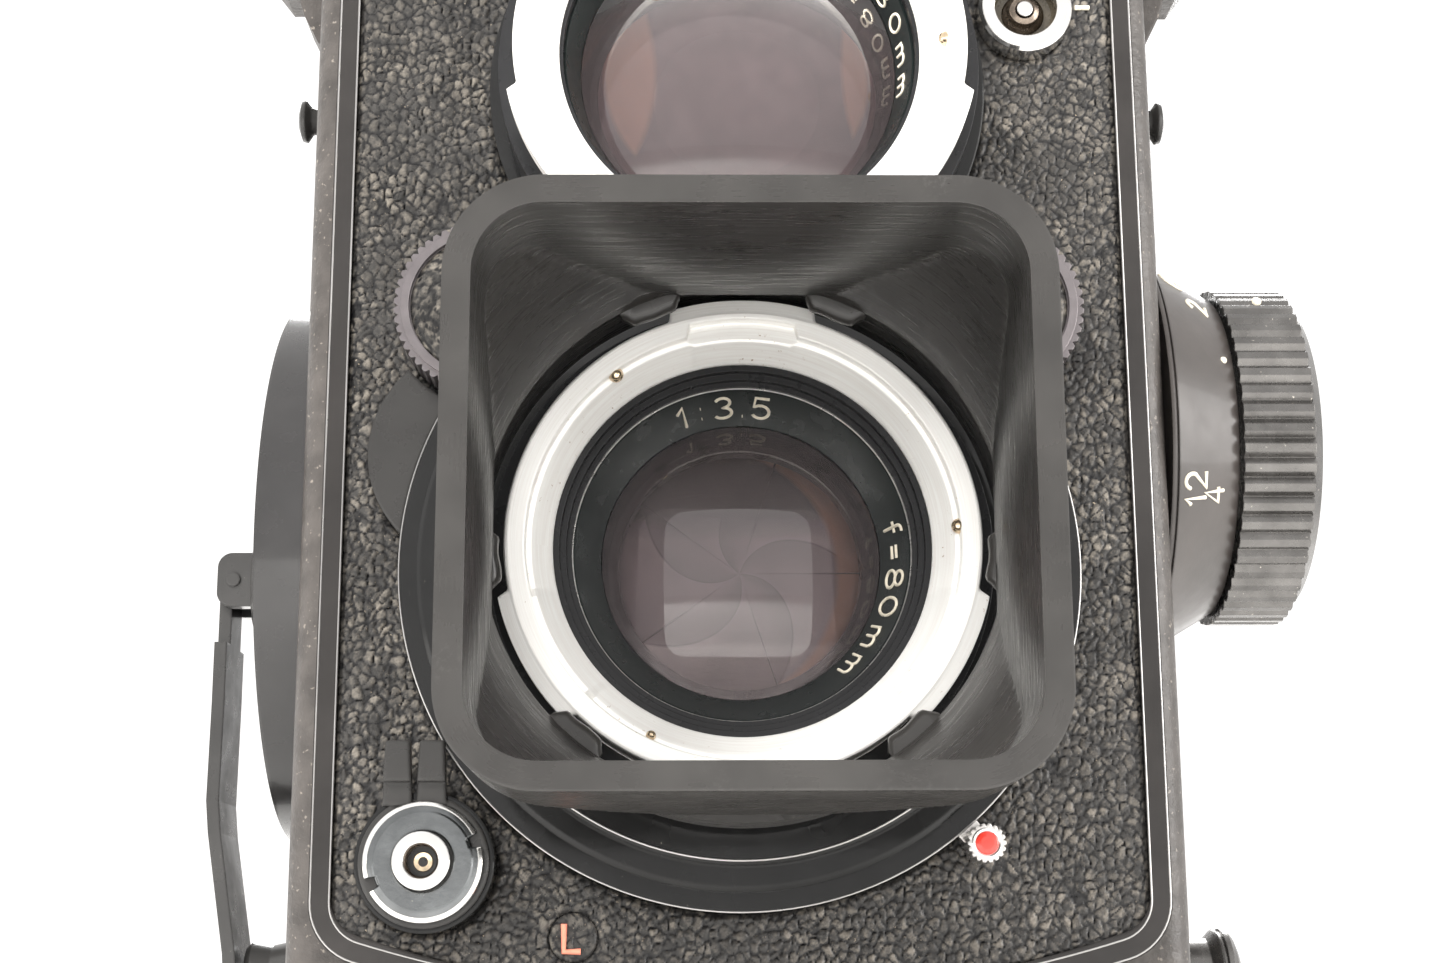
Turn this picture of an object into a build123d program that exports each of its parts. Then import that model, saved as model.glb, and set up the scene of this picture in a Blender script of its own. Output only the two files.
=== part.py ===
from build123d import *
import math
import os

# Twin lens reflex camera, millimetres. The lenses look along -Y, +X is the focusing knob side,
# -X is the crank side, +Z is up. The origin is the mouth of the tripod socket.

# ---- heights of the two lens axes and the main planes
TAKING_Z = 50.0
VIEWING_Z = TAKING_Z + 42.0
BODY_HALF_W = 38.25
BODY_FRONT_Y = -39.5
BODY_REAR_Y = 34.0
BODY_TOP_Z = 128.0
BODY_BOTTOM_Z = 3.2
CHAMBER_HALF_W = 33.2
LEATHER_T = 0.55
LEATHER_REAR_Y = 33.3
RUN = 0.05
GAP = 0.3

# ---- sliding front standard
BOARD_HALF_W = 35.0
BOARD_TOP_Z = 119.7
BOARD_CORNER_Z = 19.2
BOARD_LOW_Z = 13.4
BOARD_CORNER_R = 5.0
BOARD_RIM_W = 1.8
BOARD_RIM_Y = -46.5
LEATHER_Y = -46.0
PLATE_Y = -45.4
PLATE_BACK_Y = -43.4
SKIRT_T = 1.5
SKIRT_BACK_Y = -31.3
POCKET_FLOOR_Y = -30.5
POCKET_BACK_Y = -28.5
BAFFLE_T = 1.7
ROD_R = 1.5
ROD_PLACES = [(-33.0, 34.0), (33.0, 34.0), (-33.0, 112.0), (33.0, 112.0)]

# ---- lens panel and what it carries
PANEL_Y = -49.0
PANEL_TAKING_R = 28.2
PANEL_VIEWING_R = 21.4
PANEL_WAIST_HALF_W = 19.4
DIAL_X = 21.5
DIAL_Z = TAKING_Z + 21.5
DIAL_R = 7.3
DIAL_FRONT_Y = -52.2
RING_FRONT_Y = -59.5
RING_R = 18.7
LUG_R = 19.6
THROAT_R = 15.0
BARREL_OUT_R = 20.3
TAKING_NAME_R = 13.6
TAKING_GLASS_R = 11.35
VIEWING_NAME_R = 14.7
VIEWING_GLASS_R = 13.4
RING_BACK_Y = -53.9
PC_X = 25.4
PC_Z = TAKING_Z + 50.0
RELEASE_X = -25.4
RELEASE_Z = TAKING_Z - 24.1
RELEASE_BASE_Y = -49.2
COLLAR_Y0 = -50.5
COLLAR_Y1 = -49.3
TIMER_R = 30.0
TIMER_ANGLE = -49.5

# ---- square lens hood
HOOD_FRONT_Y = -83.1
HOOD_HALF = 21.3
HOOD_OPEN_HALF = 19.3
HOOD_CORNER_R = 7.0
HOOD_NECK_Y = -61.5
HOOD_BACK_Y = -55.0

# ---- strap lugs and case studs on both flanks
LUG_Y = -30.0
LUG_Z = 112.0
STUD_Z = 96.4

# ---- right side: focusing knob and spool knobs
KNOB_Y = -19.5
KNOB_Z = 65.95
KNOB_R = 16.2
KNOB_IN_X = 45.9
KNOB_OUT_X = 53.4
SCALE_IN_X = 39.3
SCALE_OUT_X = 45.6
FEED_Y = -14.0
FEED_Z = 16.2
SPOOL_R = 12.4
SPOOL_HALF_L = 32.4
ROLLER_Y = 29.0
ROLLER_Z = 13.5

# ---- left side: crank, its cover and the transport gears
CRANK_Y = -15.0
CRANK_Z = 54.2
COVER_R = 26.4
COVER_Y = -9.5
COVER_Z = 56.3
COVER_EDGE_X = -42.7
COVER_CROWN_X = -45.0
CRANK_PIVOT_X = -47.8
CRANK_ARM_T = 1.2
CRANK_ARM_L = 37.0
MODULE = 0.8
CRANK_TEETH = 35
IDLER_TEETH = 30
TAKEUP_TEETH = 30
TRAIN_ANGLE = math.degrees(math.atan2(35.7, 35.0))
IDLER_DIST = MODULE * (CRANK_TEETH + IDLER_TEETH) / 2
TAKEUP_DIST = IDLER_DIST + MODULE * (IDLER_TEETH + TAKEUP_TEETH) / 2
IDLER_Y = CRANK_Y + IDLER_DIST * math.cos(math.radians(TRAIN_ANGLE))
IDLER_Z = CRANK_Z + IDLER_DIST * math.sin(math.radians(TRAIN_ANGLE))
TAKEUP_Y = CRANK_Y + TAKEUP_DIST * math.cos(math.radians(TRAIN_ANGLE))
TAKEUP_Z = CRANK_Z + TAKEUP_DIST * math.sin(math.radians(TRAIN_ANGLE))
GEAR_X0 = -37.3
GEAR_X1 = -35.8

# ---- mirror and screen
MIRROR_OFFSET = 92.0
MIRROR_T = 1.8
SCREEN_Z = 124.0

# ---- back door
DOOR_Y = BODY_REAR_Y + GAP
DOOR_REAR_Y = 41.5
DOOR_TOP_Z = 119.2
DOOR_HINGE_Y = 38.4
DOOR_HINGE_Z = 122.6
BASE_FRONT_Y = -33.0
SOCKET_R = 3.175
SOCKET_LENGTH = 5.6

# ---- folding finder hood
LID_HINGE_Y = -35.2
LID_HINGE_Z = 146.5
LEFT_HINGE_Z = 132.0
RIGHT_HINGE_Z = 135.5
SIDE_HINGE_X = 33.6
REAR_HINGE_Y = 33.6
REAR_HINGE_Z = 140.0
HINGE_PIN_R = 0.7
BARREL_R = 1.2
SHEET_T = 0.8
LID_PLATE_Z = 148.0
LID_TOP_Z = 149.5
MAGNIFIER_Y = 2.0
MAGNIFIER_Z = 146.2


# ======================================================================== helpers
def box(x0, x1, y0, y1, z0, z1):
    """A block between two corners."""
    centre = Pos((x0 + x1) / 2, (y0 + y1) / 2, (z0 + z1) / 2)
    return centre * Box(abs(x1 - x0), abs(y1 - y0), abs(z1 - z0))


def cyl_x(r, x0, x1, y, z):
    """A cylinder along X."""
    return Pos((x0 + x1) / 2, y, z) * Rot(0, 90, 0) * Cylinder(r, abs(x1 - x0))


def cyl_y(r, y0, y1, x, z):
    """A cylinder along Y."""
    return Pos(x, (y0 + y1) / 2, z) * Rot(90, 0, 0) * Cylinder(r, abs(y1 - y0))


def cyl_z(r, z0, z1, x=0.0, y=0.0):
    """A cylinder along Z."""
    return Pos(x, y, (z0 + z1) / 2) * Cylinder(r, abs(z1 - z0))


def prism_x(points, x0, x1):
    """A polygon of (y, z) points drawn out along X."""
    face = Plane.YZ.offset(x0) * make_face(Polyline(*points, close=True))
    return extrude(face, amount=x1 - x0)


def prism_y(face, y0, y1):
    """A face drawn in (x, z) and drawn out along Y."""
    return extrude(Plane.XZ.offset(-y1) * face, amount=y1 - y0)


def polygon(points):
    """A face from (x, z) points."""
    return make_face(Polyline(*points, close=True))


def turned_y(points, x, z):
    """A solid of revolution about an axis along Y, from (radius, y) points."""
    profile = make_face(Polyline(*points, close=True))
    return Pos(x, 0, z) * revolve(profile, axis=Axis.Y)


def turned_x(points, y, z):
    """A solid of revolution about an axis along X, from (x, radius) points."""
    profile = make_face(Polyline(*points, close=True))
    return Pos(0, y, z) * revolve(profile, axis=Axis.X)


def disc(r, x=0.0, z=0.0):
    """A flat disc face in (x, z)."""
    return Pos(x, z) * Circle(r)


def sector(r0, r1, a0, a1, steps=8):
    """A flat piece of a ring between two angles in degrees."""
    spread = [math.radians(a0 + (a1 - a0) * i / steps) for i in range(steps + 1)]
    outer = [(r1 * math.cos(a), r1 * math.sin(a)) for a in spread]
    inner = [(r0 * math.cos(a), r0 * math.sin(a)) for a in reversed(spread)]
    return polygon(outer + inner)


def star(r_in, r_out, count):
    """A knurled outline: a ring of rounded teeth."""
    points = []
    for i in range(count):
        for part, r in ((0.0, r_in), (0.3, r_out), (0.7, r_out)):
            a = 2 * math.pi * (i + part) / count
            points.append((r * math.cos(a), r * math.sin(a)))
    return polygon(points)


def gear_face(teeth, phase_deg):
    """An involute spur gear outline with one tooth centred on phase_deg."""
    pitch_r = MODULE * teeth / 2
    base_r = pitch_r * math.cos(math.radians(20))
    tip_r = pitch_r + 0.9 * MODULE
    root_r = pitch_r - 1.2 * MODULE
    backlash = 0.16

    def involute(r):
        c = math.acos(min(1.0, base_r / r))
        return math.tan(c) - c

    half = math.pi / (2 * teeth) - backlash / (2 * pitch_r) + involute(pitch_r)
    start_r = max(base_r, root_r)
    radii = [start_r + (tip_r - start_r) * i / 3 for i in range(4)]
    points = []
    for t in range(teeth):
        mid = math.radians(phase_deg) + 2 * math.pi * t / teeth
        points.append((root_r, mid - half - 0.01))
        points += [(r, mid - half + involute(r)) for r in radii]
        points += [(r, mid + half - involute(r)) for r in reversed(radii)]
        points.append((root_r, mid + half + 0.01))
    return polygon([(r * math.cos(a), r * math.sin(a)) for r, a in points])


def gear_x(teeth, phase_deg, y, z):
    """A spur gear in the side wall, turning about an axis along X."""
    face = Plane.YZ.offset(GEAR_X0) * gear_face(teeth, phase_deg)
    return Pos(0, y, z) * extrude(face, amount=GEAR_X1 - GEAR_X0)


# ======================================================================== outlines
def board_outline(grow):
    """Front view of the lens board: straight sides, bowed foot, rounded corners."""
    half = BOARD_HALF_W + grow
    low = BOARD_CORNER_Z - grow
    foot = ThreePointArc((-half, low), (0, BOARD_LOW_Z - grow), (half, low))
    sides = Polyline((half, low), (half, BOARD_TOP_Z + grow), (-half, BOARD_TOP_Z + grow), (-half, low))
    face = make_face(foot + sides)
    return fillet(face.vertices(), BOARD_CORNER_R + grow)


def panel_outline(grow=0.0):
    """Front view of the lens panel: two circles joined by a waist that leaves room for the dials."""
    waist = PANEL_WAIST_HALF_W + grow
    face = disc(PANEL_TAKING_R + grow, 0, TAKING_Z)
    face += disc(PANEL_VIEWING_R + grow, 0, VIEWING_Z)
    face += polygon([(-waist, 62), (waist, 62), (waist, 86), (-waist, 86)])
    for side in (-1, 1):
        face -= disc(DIAL_R + 0.5 - grow, side * DIAL_X, DIAL_Z)
    return face


def lobe_outline():
    """The ear beside the taking lens, between the left dial and the round panel."""
    ear = disc(9.5, -21.5, TAKING_Z + 9.6)
    ear -= disc(PANEL_TAKING_R, 0, TAKING_Z)
    ear -= disc(DIAL_R + 0.5, -DIAL_X, DIAL_Z)
    ear = ear & polygon([(-40, 50), (-24.5, 50), (-24.5, 80), (-40, 80)])
    return ear


def rounded(half_w, y0, y1, r):
    """A rounded rectangle face in plan."""
    return Pos(0, (y0 + y1) / 2) * RectangleRounded(2 * half_w, y1 - y0, r)


# ======================================================================== camera body
def outer_casting():
    """The outside of the body with its rounded upright edges."""
    plan = rounded(BODY_HALF_W, BODY_FRONT_Y, BODY_REAR_Y, 2.5)
    shell = Pos(0, 0, BODY_BOTTOM_Z) * extrude(plan, amount=BODY_TOP_Z - BODY_BOTTOM_Z)
    rail_half = BODY_HALF_W - 2
    shell += box(-rail_half, rail_half, BODY_FRONT_Y + 0.3, BASE_FRONT_Y - GAP, 1.0, BODY_BOTTOM_Z)
    shell += box(-BODY_HALF_W, BODY_HALF_W, BODY_REAR_Y - 1, DOOR_HINGE_Y + 0.6, 124.9, BODY_TOP_Z)
    for x in (-36.0, -4.0, 28.0):
        lug = cyl_x(2.0, x, x + 8, DOOR_HINGE_Y, DOOR_HINGE_Z)
        lug += box(x, x + 8, DOOR_HINGE_Y - 2, DOOR_HINGE_Y + 1.9, DOOR_HINGE_Z, 126.0)
        shell += lug
    shell -= cyl_x(1.2, -36, 36, DOOR_HINGE_Y, DOOR_HINGE_Z)
    return shell


def chambers():
    """Every hollow inside the body, as one list of cutting solids."""
    light = prism_x([(-28.6, 36.5), (30.1, 21.5), (30.1, 78.5), (-28.6, 61.5)], -30, 30)
    floor = MIRROR_OFFSET - MIRROR_T * math.sqrt(2)
    mirror = prism_x([(-28.5, 66.5), (66.5 - floor, 66.5), (31.4, floor + 31.4), (31.4, 121.5),
                      (-28.5, 121.5)], -31, 31)
    screen = box(-28.5, 28.5, -28.5, 28.5, 121.4, SCREEN_Z + 0.1)
    screen += box(-30, 30, -30, 30, SCREEN_Z, BODY_TOP_Z + 0.1)
    feed = cyl_x(12.8, -CHAMBER_HALF_W, CHAMBER_HALF_W, FEED_Y, FEED_Z)
    feed += prism_x([(-26.8, 3.1), (-26.8, 16.2), (-14, 24), (12, 23.2), (34.1, 18), (34.1, 3.1)],
                    -CHAMBER_HALF_W, CHAMBER_HALF_W)
    takeup = cyl_x(12.9, -CHAMBER_HALF_W, CHAMBER_HALF_W, TAKEUP_Y, TAKEUP_Z)
    takeup += box(-CHAMBER_HALF_W, CHAMBER_HALF_W, 29.6, 34.1, 8, 102.8)
    return [light, mirror, screen, feed, takeup]


def side_recesses():
    """Shallow recesses in both flanks that the leather is glued into."""
    depth = BODY_HALF_W - LEATHER_T
    left = box(-BODY_HALF_W - 1, -depth, -36, LEATHER_REAR_Y, 8, 118)
    right = box(depth, BODY_HALF_W + 1, -36, LEATHER_REAR_Y, 8, 118)
    return left + right


def gear_case():
    """The pocket in the crank side wall that the transport gears turn in."""
    x0 = -BODY_HALF_W - 0.1
    pocket = cyl_x(15.1, x0, -35.4, CRANK_Y, CRANK_Z)
    pocket += cyl_x(13.0, x0, -35.4, IDLER_Y, IDLER_Z)
    pocket += cyl_x(13.0, x0, -35.4, TAKEUP_Y, TAKEUP_Z)
    return pocket


def side_bores():
    """Holes for the crank, idler, take-up drive, focusing shaft and spool knobs."""
    bores = cyl_x(3.0 + RUN, -38, -34.0, CRANK_Y, CRANK_Z)
    bores += cyl_x(1.5 + RUN, -36, -33.8, IDLER_Y, IDLER_Z)
    bores += cyl_x(3.0 + RUN, -36, -33.0, TAKEUP_Y, TAKEUP_Z)
    bores += cyl_x(4.0 + RUN, 34.5, 39, KNOB_Y, KNOB_Z)
    for y, z in ((FEED_Y, FEED_Z), (TAKEUP_Y, TAKEUP_Z)):
        bores += cyl_x(3.0 + RUN, 33.0, 39, y, z)
    bores += cyl_x(2.0 + RUN, -34.6, -33.1, FEED_Y, FEED_Z)
    return bores


def make_body_shell():
    """The cast body with the pocket that the lens board slides in."""
    shell = outer_casting()
    shell -= prism_y(board_outline(GAP), BODY_FRONT_Y - 1, POCKET_FLOOR_Y)
    for z in (TAKING_Z, VIEWING_Z):
        shell -= cyl_y(14.5, POCKET_FLOOR_Y - 1, POCKET_BACK_Y + 1, 0, z)
    for hollow in chambers():
        shell -= hollow
    for x, z in ROD_PLACES:
        shell -= cyl_y(ROD_R + RUN, POCKET_FLOOR_Y - 1, -11, x, z)
    shell -= box(-30.0, 30.0, POCKET_FLOOR_Y - 1, POCKET_BACK_Y + 0.1, 36.5, 61.5)
    shell -= box(-31.0, 31.0, POCKET_FLOOR_Y - 1, POCKET_FLOOR_Y + BAFFLE_T + 0.1, 32.9, 65.6)
    shell -= side_recesses()
    shell -= gear_case()
    shell -= side_bores()
    shell -= cyl_x(1.5 + RUN, -35.2, 35.2, ROLLER_Y, ROLLER_Z)
    return shell


def make_front_baffle():
    """The plate that closes the front of the light chamber round the taking lens."""
    y0 = POCKET_FLOOR_Y + 0.05
    plate = box(-30.9, 30.9, y0, y0 + BAFFLE_T, 33.0, 65.5)
    return plate - cyl_y(14.5, y0 - 1, y0 + 2, 0, TAKING_Z)


def make_side_leathers():
    """Two leather panels, cut round everything that comes through them."""
    x_in = BODY_HALF_W - LEATHER_T
    left = box(-BODY_HALF_W, -x_in, -36, LEATHER_REAR_Y, 8, 118)
    left -= cyl_x(3.0 + RUN, -40, -36, CRANK_Y, CRANK_Z)
    left -= cyl_x(5.0, -40, -36, LUG_Y, LUG_Z)
    left -= cyl_x(1.6, -40, -36, LUG_Y, STUD_Z)
    right = box(x_in, BODY_HALF_W, -36, LEATHER_REAR_Y, 8, 118)
    right -= cyl_x(4.0 + RUN, 36, 40, KNOB_Y, KNOB_Z)
    right -= cyl_x(5.0, 36, 40, LUG_Y, LUG_Z)
    right -= cyl_x(1.6, 36, 40, LUG_Y, STUD_Z)
    for y, z in ((FEED_Y, FEED_Z), (TAKEUP_Y, TAKEUP_Z)):
        right -= cyl_x(3.0 + RUN, 36, 40, y, z)
    return left + right


def make_reflex_mirror():
    """The fixed glass mirror at 45 degrees under the screen."""
    drop = MIRROR_T / math.sqrt(2)
    low, high = -24.1, 28.8
    points = [(low, low + MIRROR_OFFSET), (high, high + MIRROR_OFFSET),
              (high + drop, high + MIRROR_OFFSET - drop), (low + drop, low + MIRROR_OFFSET - drop)]
    return prism_x(points, -29.5, 29.5)


def make_film_gate():
    """The frame round the picture area, with two raised rails that the film runs on."""
    gate = box(-33.1, 33.1, 29.6, 31.0, 18.0, 81.5)
    gate -= box(-28, 28, 29, 32, 22, 78)
    for side in (-1, 1):
        gate += box(side * 29.2, side * 30.4, 31.0, 31.6, 18.0, 81.5)
    return gate


def make_strap_lugs():
    """Slotted lugs for the neck strap, one high on each flank."""
    lugs = []
    for side in (-1, 1):
        x_face = side * (BODY_HALF_W - LEATHER_T)
        x_out = side * 44.0
        lug = cyl_x(5.0, x_face, side * 39.4, LUG_Y, LUG_Z)
        lug += box(side * BODY_HALF_W, side * 41.3, -33.0, -27.0, 108.5, 110.3)
        fin = [(38.3, 102.8), (39.2, 103.2), (40.6, 106.0), (41.4, 108.6), (38.3, 108.6)]
        lug += prism_y(polygon([(side * x, z) for x, z in fin]), -33.0, -27.0)
        lug += box(side * BODY_HALF_W, side * 41.3, -33.0, -27.0, 116.6, 118.4)
        lug += box(side * 41.2, x_out, -33.0, -27.0, 108.5, 118.4)
        corner = [(side * 42.2, 108.0), (side * 44.5, 108.0), (side * 44.5, 111.0)]
        lug -= prism_y(polygon(corner), -34.0, -26.0)
        lug -= box(side * 39.4, side * 42.4, -34.0, -26.0, 110.3, 116.6)
        lugs.append(lug)
    return Compound(lugs)


def make_case_studs():
    """Mushroom studs on both flanks that hold the ever-ready case."""
    studs = []
    for side in (-1, 1):
        points = [(side * (BODY_HALF_W - LEATHER_T), 0), (side * (BODY_HALF_W - LEATHER_T), 1.6),
                  (side * 38.7, 1.6), (side * 39.3, 1.15), (side * 39.9, 1.3), (side * 40.4, 2.0),
                  (side * 40.8, 1.9), (side * 41.1, 1.0), (side * 41.15, 0)]
        studs.append(turned_x(points, LUG_Y, STUD_Z))
    return Compound(studs)


def cover_profile(inset):
    """Half the section of the domed cover, smaller all round by the given inset."""
    points = [(-BODY_HALF_W, COVER_R - inset), (COVER_EDGE_X + inset, COVER_R - inset)]
    rise = COVER_EDGE_X - COVER_CROWN_X
    for share in (0.97, 0.9, 0.78, 0.62, 0.42, 0.2, 0.0):
        x = COVER_EDGE_X + inset - rise * (1 - share ** 2.4)
        points.append((x, (COVER_R - inset) * share))
    return points + [(-BODY_HALF_W, 0)]


def make_crank_cover():
    """The round domed cover that the crank turns in front of."""
    cover = turned_x(cover_profile(0), COVER_Y, COVER_Z)
    cover -= turned_x(cover_profile(1.6), COVER_Y, COVER_Z)
    cover -= cyl_x(6.5, -50, -44.2, CRANK_Y, CRANK_Z)
    return cover - cyl_x(3.0 + RUN, -50, -BODY_HALF_W + 1, CRANK_Y, CRANK_Z)


def make_body_screws():
    """Countersunk screws in the top of the body and round the finder frame."""
    screws = []
    for x in (-33.5, 33.5):
        for y in (-33.0, 32.2):
            screw = cyl_z(1.5, BODY_TOP_Z + 1.2, BODY_TOP_Z + 2.0, x * 0.94, y * 0.97)
            screw -= box(x * 0.94 - 1.6, x * 0.94 + 1.6, y * 0.97 - 0.2, y * 0.97 + 0.2,
                         BODY_TOP_Z + 1.7, BODY_TOP_Z + 2.1)
            screws.append(screw)
    return Compound(screws)


def make_front_feet():
    """Two small feet under the front rail of the body."""
    return Compound([cyl_z(2.6, 0, 1.0, side * 29.0, -36.2) for side in (-1, 1)])


# ======================================================================== lens board
def make_lens_board():
    """The front standard: plate, raised rim, skirt and the sleeves behind both lenses."""
    outer = board_outline(0)
    board = prism_y(outer, PLATE_Y, SKIRT_BACK_Y)
    board -= prism_y(board_outline(-SKIRT_T), PLATE_BACK_Y, SKIRT_BACK_Y + 1)
    board += prism_y(outer - board_outline(-BOARD_RIM_W), BOARD_RIM_Y, PLATE_Y)
    for z in (TAKING_Z, VIEWING_Z):
        board += cyl_y(16.5, PLATE_BACK_Y - 0.5, -32, 0, z)
        board -= cyl_y(15.0, PLATE_Y - 1, PLATE_BACK_Y, 0, z)
        board -= cyl_y(13.0, PLATE_Y - 1, -31, 0, z)
    for side in (-1, 1):
        board -= cyl_y(1.5 + RUN, PLATE_Y - 1, PLATE_BACK_Y + 1, side * DIAL_X, DIAL_Z)
    board -= cyl_y(2.3 + RUN, PLATE_Y - 1, PLATE_BACK_Y + 1, RELEASE_X, RELEASE_Z)
    for x, z in ROD_PLACES:
        board -= cyl_y(ROD_R, PLATE_Y - 1, PLATE_BACK_Y + 1, x, z) & box(-40, 40, -44.6, -40, 0, 130)
        board -= cyl_y(ROD_R + 0.6, PLATE_BACK_Y, SKIRT_BACK_Y + 1, x, z)
    return board


def make_board_leather():
    """The pebbled leather on the board, cut round the panel and the controls."""
    face = board_outline(-BOARD_RIM_W) - panel_outline() - lobe_outline()
    for side in (-1, 1):
        face -= disc(2.0, side * DIAL_X, DIAL_Z)
    face -= disc(4.1, PC_X, PC_Z)
    face -= disc(5.6, RELEASE_X, RELEASE_Z)
    return prism_y(face, LEATHER_Y, PLATE_Y)


def make_lens_panel():
    """The lacquered panel round both lenses, grooved behind for the self-timer lever."""
    panel = prism_y(panel_outline(), PANEL_Y, PLATE_Y)
    for z in (TAKING_Z, VIEWING_Z):
        panel -= cyl_y(15.0, PANEL_Y - 1, PLATE_Y + 1, 0, z)
    groove = Pos(0, 0, TAKING_Z) * prism_y(sector(23.2, 27.2, -132, -4, 24), -47.95, PLATE_Y + 0.1)
    slot = Pos(0, 0, TAKING_Z) * prism_y(sector(26.5, 29.5, -86, -44), -47.95, PLATE_Y + 0.1)
    return panel - groove - slot


def make_panel_lobe():
    """The satin ear that covers the link beside the taking lens."""
    return prism_y(lobe_outline(), -48.6, PLATE_Y)


def make_shutter_housing():
    """The stepped round bezel in front of the panel."""
    points = [(15.0, PANEL_Y), (26.6, PANEL_Y), (26.6, -49.9), (26.2, -50.2), (24.5, -50.2), (24.5, -51.0),
              (24.2, -51.2), (15.0, -51.2)]
    housing = turned_y(points, 0, TAKING_Z)
    for side in (-1, 1):
        housing -= cyl_y(DIAL_R + 0.4, -52, -48, side * DIAL_X, DIAL_Z)
    return housing - cyl_y(20.4, -52, -48, 0, VIEWING_Z)


def make_shutter_blades():
    """Five closed leaves behind the front glass."""
    blades = []
    for i in range(5):
        leaf = sector(0.05, 12.3, 72 * i + 0.4, 72 * i + 71.6)
        blades.append(Pos(0, 0, TAKING_Z) * prism_y(leaf, -46.3, -46.0))
    return Compound(blades)


def bayonet_ring(z, lug_angles):
    """A chrome bayonet ring: flat face, one step down to a conical throat, three outer lugs."""
    points = [(THROAT_R, -56.9), (16.7, -58.7), (16.9, -58.7), (17.0, RING_FRONT_Y),
              (RING_R - 0.3, RING_FRONT_Y), (RING_R, -59.2), (RING_R, RING_BACK_Y), (THROAT_R, RING_BACK_Y)]
    ring = turned_y(points, 0, z)
    for a0, a1 in lug_angles:
        lug = Pos(0, 0, z) * prism_y(sector(RING_R - 0.5, LUG_R, a0, a1), -59.2, -57.5)
        ring += lug
    return ring


def make_taking_barrel():
    """The stepped black barrel of the taking lens, with the seat of its front glass."""
    points = [(THROAT_R, RING_BACK_Y), (THROAT_R, -56.5), (14.5, -56.5), (14.5, -55.7), (14.0, -55.7),
              (14.0, -55.0), (TAKING_NAME_R, -55.0), (TAKING_NAME_R, -50.0), (TAKING_GLASS_R + RUN, -50.0),
              (TAKING_GLASS_R + RUN, -48.8), (10.6, -48.8), (10.6, -47.6), (12.4, -47.6),
              (12.4, PLATE_BACK_Y), (15.0, PLATE_BACK_Y), (15.0, -51.2), (BARREL_OUT_R, -51.2),
              (BARREL_OUT_R, RING_BACK_Y)]
    return turned_y(points, 0, TAKING_Z)


def make_viewing_barrel():
    """The black barrel of the viewing lens, wider inside for its faster glass."""
    points = [(THROAT_R, RING_BACK_Y), (THROAT_R, -56.5), (VIEWING_NAME_R, -56.5),
              (VIEWING_NAME_R, -51.2), (VIEWING_GLASS_R + RUN, -51.2), (VIEWING_GLASS_R + RUN, -50.0),
              (12.8, -50.0), (12.8, PLATE_BACK_Y), (15.0, PLATE_BACK_Y), (15.0, PANEL_Y),
              (BARREL_OUT_R, PANEL_Y), (BARREL_OUT_R, RING_BACK_Y)]
    return turned_y(points, 0, VIEWING_Z)


def name_ring(r_in, r_out, y_in, y_out, y_back, z):
    """The funnel-shaped engraved ring round a front glass."""
    points = [(r_in, y_back), (r_in, y_in), (r_out - 0.2, y_out), (r_out, y_out), (r_out, y_back)]
    return turned_y(points, 0, z)


def front_glass(r, rim_y, bulge, thick, z):
    """A convex front element."""
    apex_y = rim_y - bulge
    arc = ThreePointArc((0, apex_y), (r / 2, apex_y + bulge / 4), (r, rim_y))
    sides = Polyline((r, rim_y), (r, rim_y + thick), (0, rim_y + thick - 0.5), (0, apex_y))
    return Pos(0, 0, z) * revolve(make_face(arc + sides), axis=Axis.Y)


def make_rear_glasses():
    """The rear elements of both lenses, in the sleeves of the board."""
    glasses = []
    for z in (TAKING_Z, VIEWING_Z):
        points = [(0, -39.2), (12.0, -38.2), (13.0, -38.2), (13.0, -35.4), (12.0, -35.4), (0, -34.2)]
        glasses.append(turned_y(points, 0, z))
    return Compound(glasses)


def make_pc_socket():
    """The flash socket with its centre contact."""
    points = [(0, PLATE_Y), (4.1, PLATE_Y), (4.1, -48.1), (3.8, -48.4), (2.75, -48.4), (2.75, -46.2),
              (0.7, -46.2), (0.7, -47.9), (0, -47.9)]
    return turned_y(points, PC_X, PC_Z)


def make_release_base():
    """The black seat of the shutter release."""
    base = cyl_y(5.6, RELEASE_BASE_Y, PLATE_Y, RELEASE_X, RELEASE_Z)
    return base - cyl_y(2.3 + RUN, -50, -44, RELEASE_X, RELEASE_Z)


def make_guide_rods():
    """Four rods that carry the board in the body."""
    return Compound([cyl_y(ROD_R, -44.6, -13.5, x, z) for x, z in ROD_PLACES])


# ======================================================================== controls on the board
def thumb_dial(x, z):
    """A knurled dial with a dished face and a short shaft into the board."""
    wheel = Pos(x, 0, z) * prism_y(star(DIAL_R - 0.35, DIAL_R, 54), -51.7, -47.4)
    wheel += cyl_y(DIAL_R - 0.6, DIAL_FRONT_Y, -46.3, x, z)
    wheel -= cyl_y(6.0, DIAL_FRONT_Y - 1, DIAL_FRONT_Y + 0.5, x, z)
    wheel += cyl_y(1.5, -47, -41.5, x, z)
    return wheel


def make_release_button():
    """The shutter button with its tapped hole for a cable release."""
    button = cyl_y(2.3, -51.6, -41.4, RELEASE_X, RELEASE_Z)
    return button - cyl_y(1.4, -52, -47.6, RELEASE_X, RELEASE_Z)


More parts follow.
